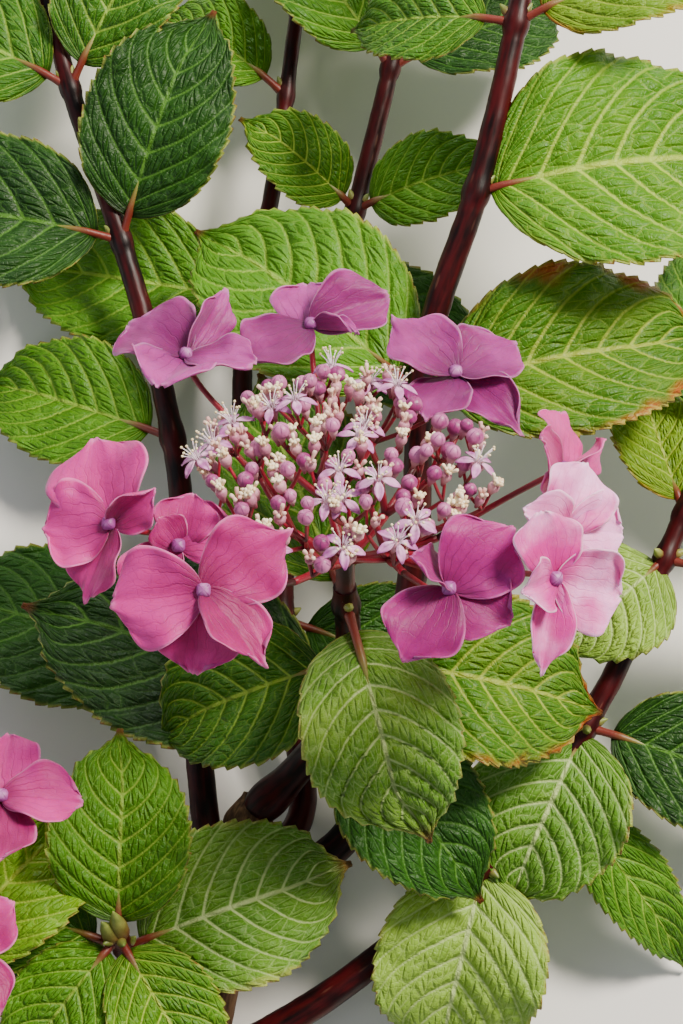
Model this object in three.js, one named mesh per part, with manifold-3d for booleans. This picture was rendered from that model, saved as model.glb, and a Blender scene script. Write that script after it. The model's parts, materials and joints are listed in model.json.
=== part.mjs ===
// A cut flowering branch of a lacecap hydrangea, lying on a level surface.
// A short cane forks into leafy shoots, and two of them end in a flat, wide flower head.
// Millimetres, +Z up, floor at z = 0. The branch lies along Y, with its cut end towards -Y.
import * as THREE from "three";
import { mergeVertices } from "three/addons/utils/BufferGeometryUtils.js";
import Module from "manifold-3d";

const wasm = await Module();
wasm.setup();

// Driving dimensions of the whole branch
const CLEAR = 0.3; // gap between two pieces that meet
const GOLDEN_ANGLE = 137.5; // degrees from one small flower to the next
const LEAF_THICK = 1.2;
const SEPAL_THICK = 0.6;
const STALK_THICK = 2.4; // of the stalk that joins a leaf to its stem
const LEAF_STOPS = [0, 0.22, 0.46, 0.72, 1]; // places along a leaf where its faces meet
const BLADE_CELLS = { single: 4, spray: 2 }; // faces across a leaf
const SMALLEST = 0.15; // no step of a surface is kept that is smaller than this
const STEM_SIDES = 8;
const SPRAY_SIDES = 6;
const STEM_STEPS = { length: 24, fewest: 5 }; // rings of faces along a stem: their spacing and number
const OVERRUN = 0.7; // of its own radius, how far a ray runs on into the next one
const SLOPE_STEP = 0.02; // of a blade's length, over which its slope is measured

const COLOURS = {
  bark: { color: 0x4a1c1c, roughness: 0.5 },
  oldWood: { color: 0x6b4a34, roughness: 0.8 },
  leaf: { color: 0x3f7a1c, roughness: 0.55 },
  sepal: { color: 0xd163a4, roughness: 0.5 },
  fertile: { color: 0xb878b0, roughness: 0.55 },
};

// Stems: the points that each runs through, its radius at root and tip, the stem that it springs
// from, and the share of its length after which it is part of the leafy spray at its tip
const STEMS = {
  cane: {
    through: [[-44, -190, 7], [-39, -140, 8], [-31, -98, 11], [-24, -62, 16]],
    radius: [7, 5.5],
  },
  main: {
    through: [[-26, -69, 15], [-11, -56, 28], [1, -42, 51], [1, -33, 72], [0, -23.5, 91.4]],
    radius: [4.6, 2.9],
    from: "cane",
  },
  second: {
    through: [[-39, -140, 8], [-66, -136, 22], [-94, -124, 48], [-107.6, -106.3, 72.4]],
    radius: [4.2, 2.7],
    from: "cane",
  },
  right: {
    through: [
      [-29, -92, 12], [2, -72, 20], [17, -14, 48], [21, 44, 70],
      [34, 83, 85], [45, 130, 95], [50, 168, 99],
    ],
    radius: [4.6, 2.6],
    from: "cane",
    spray: 0.66,
  },
  top: {
    through: [
      [-28, -84, 12], [-12, -68, 10], [-17, -20, 18], [-13, 40, 24],
      [2, 94, 30], [15, 148, 38], [20, 178, 42],
    ],
    radius: [3.8, 2.2],
    from: "cane",
    spray: 0.64,
  },
  upper: {
    through: [[-16.5, -10, 19], [-27, 30, 22], [-27, 70, 22], [-20, 106, 26], [-13, 160, 32]],
    radius: [3.2, 2],
    from: "top",
    spray: 0.42,
  },
  left: {
    through: [
      [-33, -106, 10], [-40, -40, 18], [-46, 30, 25], [-60, 84, 33], [-75, 128, 40], [-86, 168, 44],
    ],
    radius: [4, 2.3],
    from: "cane",
    spray: 0.66,
  },
  side: {
    through: [[-38, -134, 8], [0, -112, 15], [42, -76, 28], [67, -40, 36], [84, -4, 42], [98, 28, 45]],
    radius: [4.2, 2.4],
    from: "cane",
    spray: 0.74,
  },
  low: {
    through: [[-36, -126, 9], [-48, -118, 26], [-54, -108, 50], [-56, -104, 62]],
    radius: [3.4, 2.2],
    from: "cane",
    spray: 0.7,
  },
};

// The usual leaf. The petiole is its bare stalk. Width and arch are shares of its length. It folds up
// from its midrib and curls back to its edges, in degrees, and its edges are wavy.
const USUAL_LEAF = { petiole: 10, width: 0.68, arch: 0.14, fold: 14, curl: -10, wave: 0.08 };
// Leaves, mostly in opposite pairs: the share of the stem's length where the leaf stands, the place of
// its tip, and what sets it apart from the usual leaf
const SINGLE_LEAVES = {
  cane: [{ at: 0.28, tip: [26, -176, 1], arch: 0.06 }],
  main: [
    { at: 0.93, tip: [26, -80, 70], width: 0.86, arch: 0.24, fold: 4, curl: -22 },
    { at: 0.92, tip: [-24, 38, 66], arch: 0.04 },
    { at: 0.7, tip: [-48, -52, 50], arch: 0.16, width: 0.8 },
    { at: 0.7, tip: [66, -45, 44], width: 0.74 },
    { at: 0.42, tip: [36, -92, 34], width: 0.72 },
    { at: 0.42, tip: [-84, -12, 32], arch: 0.08 },
  ],
  second: [
    { at: 0.55, tip: [-66, -176, 4] },
    { at: 0.55, tip: [-146, -158, 6] },
    { at: 0.86, tip: [-62, -68, 52] },
    { at: 0.86, tip: [-168, -122, 34] },
  ],
  right: [
    { at: 0.52, tip: [97, 52, 50], arch: 0.16, width: 0.62 },
    { at: 0.52, tip: [-39, 89, 40], arch: 0.08 },
  ],
  top: [{ at: 0.28, tip: [46, -34, 1], arch: 0.04 }],
  left: [
    { at: 0.5, tip: [-102, 58, 1], arch: 0.06 },
    { at: 0.28, tip: [-112, -4, 1], arch: 0.04 },
  ],
  side: [
    { at: 0.42, tip: [24, -132, 1], petiole: 4, width: 0.84 },
    { at: 0.62, tip: [42, -92, 22], petiole: 4, width: 0.9 },
    { at: 0.62, tip: [118, -66, 20] },
    { at: 0.54, tip: [92, -106, 2], width: 0.36 },
  ],
  low: [
    { at: 0.45, tip: [-18, -86, 22] },
    { at: 0.45, tip: [-96, -108, 12] },
  ],
};
const SPRAY_LEAVES = {
  right: [
    { at: 0.7, tip: [112, 97, 66], petiole: 7, width: 0.76 },
    { at: 0.85, tip: [98, 146, 88] },
    { at: 0.85, tip: [2, 132, 72] },
    { at: 0.99, tip: [82, 210, 82] },
    { at: 0.99, tip: [20, 214, 80] },
  ],
  top: [
    { at: 0.7, tip: [44, 108, 40], petiole: 7 },
    { at: 0.7, tip: [-28, 120, 44], petiole: 7 },
    { at: 0.85, tip: [-22, 182, 40] },
    { at: 0.85, tip: [62, 162, 20] },
    { at: 0.99, tip: [54, 230, 1] },
    { at: 0.99, tip: [-4, 228, 12] },
  ],
  upper: [
    { at: 0.5, tip: [-96, 92, 4], arch: 0.02 },
    { at: 0.5, tip: [44, 62, 1], arch: 0.04 },
    { at: 0.84, tip: [-52, 162, 20] },
    { at: 0.99, tip: [-34, 212, 1] },
    { at: 0.99, tip: [4, 200, 6] },
  ],
  left: [
    { at: 0.7, tip: [-134, 100, 22] },
    { at: 0.7, tip: [-38, 150, 48] },
    { at: 0.86, tip: [-138, 162, 22] },
    { at: 0.86, tip: [-46, 184, 44] },
    { at: 0.99, tip: [-118, 214, 18] },
    { at: 0.99, tip: [-80, 224, 26] },
  ],
  side: [
    { at: 0.84, tip: [56, -30, 40], petiole: 4, width: 0.9 },
    { at: 0.84, tip: [144, -24, 30] },
    { at: 0.9, tip: [78, 50, 36], arch: 0.02, petiole: 6 },
    { at: 0.99, tip: [150, 60, 30] },
    { at: 0.99, tip: [104, 90, 26] },
  ],
  low: [
    { at: 0.86, tip: [2, -86, 44], petiole: 7, width: 0.74 },
    { at: 0.86, tip: [-104, -90, 48] },
    { at: 0.97, tip: [-54, -54, 66], petiole: 6, width: 0.76 },
    { at: 0.97, tip: [-32, -142, 50], petiole: 6 },
    { at: 0.97, tip: [-82, -138, 50], petiole: 6 },
  ],
};

// Width of a leaf along its length, as a share of the widest: broad below the middle, drawn out to a tip
const LEAF_SHAPE = { rise: 0.62, fall: 0.95 };

// Flower heads: the middle of the disc of small flowers, the way it faces, the number of small
// flowers and the radius of their disc
const BLOOMS = {
  main: { centre: [0, 0, 125], faces: [0, 0.574, 0.819], flowers: 44, radius: 37 },
  second: { centre: [-122, -92, 108], faces: [-0.35, 0.35, 0.87], flowers: 15, radius: 31 },
};
const FORK_DEPTH = 41; // from the disc down to the end of the shoot
const DISC = { crown: 5, fall: 0.006 }; // height over the disc at its middle, and its fall per mm squared
// The rays that bear the small flowers, with their depth under the disc, and the short stubs that bear
// the stalks of the florets
const RAYS = {
  neck: { depth: [38.2, 32], radius: [2.6, 2.3], sides: 6 },
  inner: { count: 5, reach: 12, depth: 24, radius: [1.5, 1.3], sides: 4 },
  outer: { count: 14, reach: 0.72, depth: 11, radius: [1.1, 0.9], sides: 4 },
  stalk: { radius: [0.6, 0.5], sides: 3 },
  stub: { share: 0.3, sink: 3, radius: [1.1, 1], sides: 4 },
};
const BUD_RADIUS = 2.3;
const OPEN_FLOWER = { petals: 5, radius: 5, waist: 2.3, height: 1.8 };
const OPEN_EVERY = 3; // one small flower in this many is open

// Sepals: a narrow claw, widest past the middle, blunt at the end
const SEPAL_OUTLINE = { full: 1.62, rise: 0.7, power: 3, fall: 0.55, blunt: 0.25, claw: 0.8 };
const SEPAL_BEND = { fold: 10, curl: -6, wave: 0.07, droop: 0.14 };
const SEPAL_STOPS = [0, 0.46, 0.84, 1];
const SEPAL_CELLS = { main: 4, second: 2 }; // faces across a sepal
const EYE_RADIUS = 1.7;
const PEDICEL = { radius: [1, 0.75], dip: 12, sides: 3, steps: 4 }; // the stalk of a floret

// The florets round the main head. Directions are given as seen from 15 degrees in front of straight
// above: right, up and towards the eye.
const VIEW = {
  right: new THREE.Vector3(1, 0, 0),
  up: new THREE.Vector3(0, 0.966, 0.259),
  toward: new THREE.Vector3(0, -0.259, 0.966),
};
// at is the place across, along and over the disc. faces is the right and up share of the way that
// the floret faces. Each sepal has its turn in degrees, length, width, lift and roll.
const MAIN_FLORETS = [
  {
    at: [-38.7, 38.7, 0],
    faces: [0, 0.62],
    sepals: [
      [145, 19, 23, 5, 0], [61, 21, 16, 15, 60],
      [-12, 18, 17, 15, -20], [250, 19, 22, 30, 0],
    ],
  },
  {
    at: [-8.4, 51, 0],
    faces: [0, 0.72],
    sepals: [
      [205, 18, 20, 0, 0], [95, 17, 20, 10, 0],
      [22, 21, 17, 10, 30], [-25, 14, 9, 25, -50],
    ],
  },
  {
    at: [26.7, 31.5, 0],
    faces: [0.1, 0.6],
    sepals: [
      [145, 19, 18, 15, 0], [235, 16, 16, 10, 20],
      [25, 17, 20, 10, -10], [-45, 21, 17, 0, 0],
    ],
  },
  {
    at: [50.2, -5.4, 0],
    faces: [0.75, 0.35],
    sepals: [
      [80, 19, 15, 0, 0], [35, 22, 12, 10, 50],
      [150, 14, 12, 25, 0], [275, 15, 17, 0, 0],
    ],
  },
  {
    at: [50, -25.1, -2],
    faces: [0.45, 0.1],
    sepals: [
      [70, 16, 18, 0, 0], [0, 17, 18, 0, 0],
      [160, 14, 14, 20, 0], [260, 14, 15, 0, 0],
    ],
  },
  {
    at: [45.6, -46.6, 3],
    faces: [0.35, -0.1],
    sepals: [
      [-15, 18, 20, 0, 0], [265, 19, 12, 10, 0],
      [195, 10, 13, 30, 0], [100, 14, 14, 10, 0],
    ],
  },
  {
    at: [22.8, -47, 0],
    faces: [-0.1, 0.35],
    sepals: [
      [50, 18, 20, 15, 20], [-25, 15, 15, 5, 0],
      [238, 18, 18, 10, 0], [140, 13, 16, 30, 0],
    ],
  },
  {
    at: [-31, -47.4, 0],
    faces: [0.05, 0.1],
    sepals: [
      [190, 20, 21, 0, 0], [35, 20, 19, 5, 0],
      [-50, 20, 14, 15, -30], [-95, 18, 17, -10, 0],
    ],
  },
  {
    at: [-53, -24.8, 0],
    faces: [-0.3, 0.2],
    sepals: [
      [110, 21, 20, 0, 0], [35, 15, 16, 0, 0],
      [190, 15, 18, 10, 0], [253, 16, 15, 0, 20],
    ],
  },
  {
    at: [-38, -21, -10],
    faces: [-0.1, 0.3],
    sepals: [
      [20, 14, 14, 5, 0], [75, 12, 12, 15, 0],
      [222, 17, 14, 0, 0], [128, 8, 9, 35, 0],
    ],
  },
];
// The florets round the second head stand in a ring, every other one higher, and are alike but for
// their turn.
const SECOND_FLORETS = {
  count: 7,
  reach: 46,
  heights: [-4, 1],
  start: 12,
  tilt: 22,
  turn: 37,
  length: 18,
  width: 18,
  lifts: [4, 10, 4, 10],
};

const radians = THREE.MathUtils.degToRad;
const vec = (p) => new THREE.Vector3(...p);

// Joining and cutting

// A closed three.js geometry as a solid that can be joined and cut, turned the right way out.
function solidFrom(geometry) {
  const bare = new THREE.BufferGeometry();
  bare.setAttribute("position", geometry.getAttribute("position"));
  bare.setIndex(geometry.index);
  const merged = mergeVertices(bare, 1e-4);
  const vertProperties = new Float32Array(merged.attributes.position.array);
  const triVerts = new Uint32Array(merged.index.array);
  const solid = new wasm.Manifold(new wasm.Mesh({ numProp: 3, vertProperties, triVerts }));
  if (solid.volume() > 0) return solid;
  triVerts.reverse();
  return new wasm.Manifold(new wasm.Mesh({ numProp: 3, vertProperties, triVerts }));
}

// Several solids as one body, without loose scraps or faces too small to see.
function fused(solids) {
  const bodies = wasm.Manifold.union(solids).asOriginal().simplify(SMALLEST).decompose();
  return bodies.reduce((best, body) => (body.volume() > best.volume() ? body : best));
}

function meshFrom(name, solid, colour) {
  const made = solid.getMesh();
  const geometry = new THREE.BufferGeometry();
  geometry.setAttribute("position", new THREE.BufferAttribute(new Float32Array(made.vertProperties), 3));
  geometry.setIndex(new THREE.BufferAttribute(new Uint32Array(made.triVerts), 1));
  geometry.computeVertexNormals();
  const material = new THREE.MeshStandardMaterial({ ...colour, metalness: 0, flatShading: true });
  const mesh = new THREE.Mesh(geometry, material);
  mesh.name = name;
  return mesh;
}

// Limbs: a cylinder bent along a curve, with its own radius at each ring

function limb(curve, radiusAt, sides, steps) {
  const geometry = new THREE.CylinderGeometry(1, 1, 1, sides, steps);
  const frames = curve.computeFrenetFrames(steps);
  const place = geometry.getAttribute("position");
  for (let i = 0; i < place.count; i++) {
    const ring = Math.round((place.getY(i) + 0.5) * steps);
    const radius = radiusAt(ring / steps);
    const point = curve.getPointAt(ring / steps);
    point.addScaledVector(frames.normals[ring], place.getX(i) * radius);
    point.addScaledVector(frames.binormals[ring], place.getZ(i) * radius);
    place.setXYZ(i, point.x, point.y, point.z);
  }
  return solidFrom(geometry);
}

// A straight ray between two points, run on a little at both ends so that it joins the next one.
function ray(from, to, { radius, sides }, extra) {
  const ahead = to.clone().sub(from).normalize();
  const start = from.clone().addScaledVector(ahead, -OVERRUN * radius[0]);
  const end = to.clone().addScaledVector(ahead, OVERRUN * radius[1]);
  const radiusAt = (t) => THREE.MathUtils.lerp(...radius, t) + extra;
  return limb(new THREE.LineCurve3(start, end), radiusAt, sides, 1);
}

// The stretch of a curve between two shares of its length.
function stretch(curve, from, to, count) {
  const shareAt = (i) => THREE.MathUtils.lerp(from, to, i / count);
  const points = Array.from({ length: count + 1 }, (_, i) => curve.getPointAt(shareAt(i)));
  return new THREE.CatmullRomCurve3(points);
}

function stemCurve(name) {
  return new THREE.CatmullRomCurve3(STEMS[name].through.map(vec));
}

// One stretch of a stem as a solid. extra makes it thicker all round, to cut its neighbours clear.
function stemSolid(name, from, to, sides, extra = 0) {
  const whole = stemCurve(name);
  const length = whole.getLength() * (to - from);
  const steps = Math.max(STEM_STEPS.fewest, Math.round(length / STEM_STEPS.length));
  const shareAt = (t) => THREE.MathUtils.lerp(from, to, t);
  const radiusAt = (t) => THREE.MathUtils.lerp(...STEMS[name].radius, shareAt(t)) + extra;
  return limb(stretch(whole, from, to, steps), radiusAt, sides, steps);
}

// The space that the neighbours of a stem keep clear of.
function stemRoom(name) {
  const solid = stemSolid(name, 0, 1, STEM_SIDES, CLEAR);
  const past = stemCurve(name).getTangentAt(1).multiplyScalar(CLEAR);
  return wasm.Manifold.union([solid, solid.translate([past.x, past.y, past.z])]);
}

// Blades: a thin sheet on a curved surface, for leaves and sepals

// pointAt gives the surface at a share along the blade and a place across it, from -1 to 1.
function blade(pointAt, thickAt, stops, across) {
  const place = [];
  const faces = [];
  const along = stops.length - 1;
  stops.forEach((u) => {
    for (let j = 0; j <= across; j++) {
      const v = (2 * j) / across - 1;
      const inner = THREE.MathUtils.clamp(u, 2 * SLOPE_STEP, 1 - 2 * SLOPE_STEP);
      const alongU = pointAt(inner + SLOPE_STEP, v).sub(pointAt(inner - SLOPE_STEP, v));
      const alongV = pointAt(inner, v + SLOPE_STEP).sub(pointAt(inner, v - SLOPE_STEP));
      const up = alongU.cross(alongV).normalize().multiplyScalar(thickAt(u) / 2);
      place.push(...pointAt(u, v).add(up), ...pointAt(u, v).sub(up));
    }
  });
  const top = (i, j) => 2 * (i * (across + 1) + j);
  const addPatch = (a, b, c, d) => {
    faces.push(a, b, c, a, c, d);
    faces.push(a + 1, c + 1, b + 1, a + 1, d + 1, c + 1);
  };
  for (let i = 0; i < along; i++) {
    for (let j = 0; j < across; j++) {
      const corners = [top(i, j), top(i + 1, j), top(i + 1, j + 1), top(i, j + 1)];
      if (j < across / 2) corners.push(corners.shift());
      addPatch(...corners);
    }
  }
  const addWall = (a, b) => faces.push(a, a + 1, b + 1, a, b + 1, b);
  for (let i = 0; i < along; i++) {
    addWall(top(i, 0), top(i + 1, 0));
    addWall(top(i + 1, across), top(i, across));
  }
  for (let j = 0; j < across; j++) {
    addWall(top(along, j), top(along, j + 1));
    addWall(top(0, j + 1), top(0, j));
  }
  const geometry = new THREE.BufferGeometry();
  geometry.setAttribute("position", new THREE.Float32BufferAttribute(place, 3));
  geometry.setIndex(faces);
  return solidFrom(geometry);
}

// A point of a blade, from its place on the midrib and the frame there. fold lifts both halves from the
// midrib, curl bends them on towards their edges, and wave ripples the edge.
function bladePoint(middle, side, up, half, v, u, { fold, curl, wave }) {
  const out = Math.abs(v);
  const angle = radians(fold + curl * out);
  const ripple = wave * half * v * v * Math.sin(4 * Math.PI * u + 2 * v);
  return middle
    .clone()
    .addScaledVector(side, half * v * Math.cos(angle))
    .addScaledVector(up, half * out * Math.sin(angle) + ripple);
}

// Leaves

function leafWidth(u) {
  const { rise, fall } = LEAF_SHAPE;
  const widest = rise / (rise + fall);
  return (u / widest) ** rise * ((1 - u) / (1 - widest)) ** fall;
}

// The line that a leaf's stalk and midrib follow, from the middle of its stem to its tip.
function leafSpine(stem, leaf) {
  const root = stemCurve(stem).getPointAt(leaf.at);
  const tip = vec(leaf.tip);
  const middle = root.clone().add(tip).multiplyScalar(0.5);
  middle.z += leaf.arch * root.distanceTo(tip) * 2;
  return new THREE.QuadraticBezierCurve3(root, middle, tip);
}

function leafSolid(stem, spec, across) {
  const leaf = { ...USUAL_LEAF, ...spec };
  const spine = leafSpine(stem, leaf);
  const length = spine.getLength();
  const stalk = leaf.petiole / length;
  const sky = new THREE.Vector3(0, 0, 1);
  const half = (leaf.width * (length - leaf.petiole)) / 2;
  const pointAt = (share, v) => {
    const ahead = spine.getTangentAt(THREE.MathUtils.clamp(share, 0, 1));
    const side = ahead.clone().cross(sky).normalize();
    const up = side.clone().cross(ahead);
    const u = THREE.MathUtils.clamp((share - stalk) / (1 - stalk), 0, 1);
    const wide = Math.max(STALK_THICK / 2, half * leafWidth(u));
    const point = bladePoint(spine.getPointAt(share), side, up, wide, v, u, leaf);
    point.z = Math.max(point.z, LEAF_THICK / 2);
    return point;
  };
  const thickAt = (share) => (share > stalk ? LEAF_THICK : STALK_THICK);
  const stops = [0, ...LEAF_STOPS.map((u) => stalk + (1 - stalk) * u)];
  return blade(pointAt, thickAt, stops, across);
}

// Flower heads

// Places over the disc of a flower head: across, along and over it.
function discPlace(bloom) {
  const out = vec(bloom.faces).normalize();
  const across = new THREE.Vector3(1, 0, 0).projectOnPlane(out).normalize();
  const along = out.clone().cross(across);
  return (x, y, h) =>
    vec(bloom.centre).addScaledVector(across, x).addScaledVector(along, y).addScaledVector(out, h);
}

// Places spread evenly over a round disc, along a spiral.
function spiral(count, radius) {
  return Array.from({ length: count }, (_, k) => {
    const reach = radius * Math.sqrt((k + 0.5) / count);
    const turn = radians(GOLDEN_ANGLE * k);
    return [reach * Math.cos(turn), reach * Math.sin(turn), reach];
  });
}

const nearest = (point, others) =>
  others.reduce((best, other) => (point.distanceTo(other) < point.distanceTo(best) ? other : best));

// The points where the rays of a flower head fork: five on the inner ring, and more on the outer ones.
function rayForks(bloom) {
  const at = discPlace(bloom);
  const { inner, outer } = RAYS;
  const innerForks = Array.from({ length: inner.count }, (_, k) => {
    const turn = (2 * Math.PI * (k + 0.5)) / inner.count;
    return at(inner.reach * Math.cos(turn), inner.reach * Math.sin(turn), -inner.depth);
  });
  const outerForks = spiral(outer.count, outer.reach * bloom.radius).map(([x, y, reach]) =>
    at(x, y, -outer.depth - DISC.fall * reach * reach),
  );
  return { innerForks, outerForks };
}

function smallFlower(place, out, open, extra) {
  const { petals, radius, waist, height } = OPEN_FLOWER;
  const star = () => new THREE.SphereGeometry(1, 2 * petals, 2);
  const geometry = open ? star() : new THREE.IcosahedronGeometry(BUD_RADIUS + extra, 0);
  const point = geometry.getAttribute("position");
  if (open) {
    for (let i = 0; i < point.count; i++) {
      const turn = Math.atan2(point.getZ(i), point.getX(i));
      const wide = (Math.round((turn / Math.PI) * petals) % 2 === 0 ? radius : waist) + extra;
      point.setXYZ(i, point.getX(i) * wide, point.getY(i) * (height + extra), point.getZ(i) * wide);
    }
  }
  geometry.applyQuaternion(new THREE.Quaternion().setFromUnitVectors(new THREE.Vector3(0, 1, 0), out));
  geometry.translate(...place);
  if (!geometry.index) geometry.setIndex([...Array(point.count).keys()]);
  return solidFrom(geometry);
}

// Where the stalk of each floret meets the short ray that bears it.
function stalkRoots(bloom, florets) {
  const { share, sink } = RAYS.stub;
  const { innerForks } = rayForks(bloom);
  const down = vec(bloom.faces).normalize().multiplyScalar(-sink);
  return florets.map(({ eye }) => nearest(eye, innerForks).clone().lerp(eye, share).add(down));
}

// The small flowers of a head with all the rays that bear them. extra makes them thicker all round.
function clusterSolid(bloom, roots, extra = 0) {
  const at = discPlace(bloom);
  const out = vec(bloom.faces).normalize();
  const { neck, inner, outer, stalk, stub } = RAYS;
  const { innerForks, outerForks } = rayForks(bloom);
  const neckTop = at(0, 0, -neck.depth[1]);
  const pieces = [ray(at(0, 0, -neck.depth[0]), neckTop, neck, extra)];
  innerForks.forEach((fork) => pieces.push(ray(neckTop, fork, inner, extra)));
  outerForks.forEach((fork) => pieces.push(ray(nearest(fork, innerForks), fork, outer, extra)));
  roots.forEach((root) => pieces.push(ray(nearest(root, innerForks), root, stub, extra)));
  spiral(bloom.flowers, bloom.radius).forEach(([x, y, reach], k) => {
    const place = at(x, y, DISC.crown - DISC.fall * reach * reach);
    const outward = place.clone().sub(at(0, 0, -FORK_DEPTH)).normalize();
    pieces.push(smallFlower(place, outward.add(out).normalize(), k % OPEN_EVERY === 0, extra));
    pieces.push(ray(nearest(place, outerForks), place, stalk, extra));
  });
  return fused(pieces);
}

function sepalWidth(u) {
  const { full, rise, power, fall, blunt } = SEPAL_OUTLINE;
  return Math.max(full * u ** rise * (1 - u ** power) ** fall, blunt * u);
}

// A sepal turned to a direction as seen, in the plane that its floret faces along.
function sepalSolid(eye, facing, [turn, length, width, lift, roll], cells) {
  const share = [Math.cos(radians(turn)), Math.sin(radians(turn))];
  const flat = VIEW.right.clone().multiplyScalar(share[0]).addScaledVector(VIEW.up, share[1]);
  flat.addScaledVector(VIEW.toward, -flat.dot(facing) / VIEW.toward.dot(facing)).normalize();
  const ahead = flat.clone().multiplyScalar(Math.cos(radians(lift)));
  ahead.addScaledVector(facing, Math.sin(radians(lift)));
  const side = facing.clone().cross(flat).applyAxisAngle(ahead, radians(roll));
  const up = ahead.clone().cross(side);
  const pointAt = (u, v) => {
    const middle = eye.clone().addScaledVector(ahead, length * u);
    middle.addScaledVector(facing, -SEPAL_BEND.droop * length * u * u);
    const half = Math.max(SEPAL_OUTLINE.claw, (width / 2) * sepalWidth(u));
    return bladePoint(middle, side, up, half, v, u, SEPAL_BEND);
  };
  return blade(pointAt, () => SEPAL_THICK, SEPAL_STOPS, cells);
}

function floretSolid(eye, facing, sepals, cells, root) {
  const { radius, dip, sides, steps } = PEDICEL;
  const bead = new THREE.IcosahedronGeometry(EYE_RADIUS, 0).translate(...eye);
  bead.setIndex([...Array(bead.getAttribute("position").count).keys()]);
  const behind = eye.clone().addScaledVector(facing, -dip);
  const stalk = new THREE.QuadraticBezierCurve3(root, behind, eye);
  const radiusAt = (t) => THREE.MathUtils.lerp(...radius, t);
  const pieces = [solidFrom(bead), limb(stalk, radiusAt, sides, steps)];
  sepals.forEach((sepal) => pieces.push(sepalSolid(eye, facing, sepal, cells)));
  return wasm.Manifold.union(pieces);
}

function mainFlorets() {
  const at = discPlace(BLOOMS.main);
  return MAIN_FLORETS.map((spec) => {
    const [right, up] = spec.faces;
    const facing = VIEW.toward.clone().multiplyScalar(Math.sqrt(1 - right * right - up * up));
    facing.addScaledVector(VIEW.right, right).addScaledVector(VIEW.up, up);
    return { eye: at(...spec.at), facing, sepals: spec.sepals };
  });
}

function secondFlorets() {
  const { count, reach, heights, start, tilt, turn, length, width, lifts } = SECOND_FLORETS;
  const at = discPlace(BLOOMS.second);
  const out = vec(BLOOMS.second.faces).normalize();
  return Array.from({ length: count }, (_, k) => {
    const angle = radians(start + (360 * k) / count);
    const eye = at(reach * Math.cos(angle), reach * Math.sin(angle), heights[k % 2]);
    const outward = eye.clone().sub(at(0, 0, 0)).projectOnPlane(out).normalize();
    const facing = out.clone().multiplyScalar(Math.cos(radians(tilt)));
    facing.addScaledVector(outward, Math.sin(radians(tilt)));
    const sepals = lifts.map((lift, j) => [turn * k + 90 * j, length, width, lift, 0]);
    return { eye, facing, sepals };
  });
}

// The branch

const group = new THREE.Group();

function addStems() {
  for (const [name, stem] of Object.entries(STEMS)) {
    let solid = stemSolid(name, 0, stem.spray ?? 1, STEM_SIDES);
    if (stem.from) solid = fused([solid.subtract(stemRoom(stem.from))]);
    const old = name === "cane";
    group.add(meshFrom(old ? name : `shoot_${name}`, solid, old ? COLOURS.oldWood : COLOURS.bark));
  }
}

function addSingleLeaves() {
  for (const [stem, leaves] of Object.entries(SINGLE_LEAVES)) {
    const room = stemRoom(stem);
    leaves.forEach((leaf, k) => {
      const solid = fused([leafSolid(stem, leaf, BLADE_CELLS.single).subtract(room)]);
      group.add(meshFrom(`leaf_${stem}_${k + 1}`, solid, COLOURS.leaf));
    });
  }
}

function addSprays() {
  for (const [stem, leaves] of Object.entries(SPRAY_LEAVES)) {
    const gap = CLEAR / stemCurve(stem).getLength();
    const twig = stemSolid(stem, STEMS[stem].spray + gap, 1, SPRAY_SIDES);
    const blades = leaves.map((leaf) => leafSolid(stem, leaf, BLADE_CELLS.spray));
    const solid = fused([twig, ...blades]);
    group.add(meshFrom(`spray_${stem}`, solid, COLOURS.leaf));
  }
}

function addBloom(name, florets) {
  const bloom = BLOOMS[name];
  const roots = stalkRoots(bloom, florets);
  const room = clusterSolid(bloom, roots, CLEAR);
  group.add(meshFrom(`flowers_${name}`, clusterSolid(bloom, roots), COLOURS.fertile));
  florets.forEach(({ eye, facing, sepals }, k) => {
    const whole = floretSolid(eye, facing, sepals, SEPAL_CELLS[name], roots[k]);
    const solid = fused([whole.subtract(room)]);
    group.add(meshFrom(`floret_${name}_${k + 1}`, solid, COLOURS.sepal));
  });
}

addStems();
addSingleLeaves();
addSprays();
addBloom("main", mainFlorets());
addBloom("second", secondFlorets());

// The origin is on the floor, under the middle of the branch.
const extent = new THREE.Box3().setFromObject(group);
const middle = extent.getCenter(new THREE.Vector3());
group.position.set(-middle.x, -middle.y, -extent.min.z);

export default group;
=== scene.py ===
"""A cut flowering branch of a lacecap hydrangea, lying on a pale floor under soft studio light.

The branch stands where the frame puts it. Each stem, leaf, floret and flower head grows by the rules of
the solids that it replaces, carried to finer twigs, teeth, veins and small flowers.
"""

from __future__ import annotations

import json
import logging
import math
from collections.abc import Mapping, Sequence
from dataclasses import dataclass, field
from enum import Enum
from typing import Any

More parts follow.
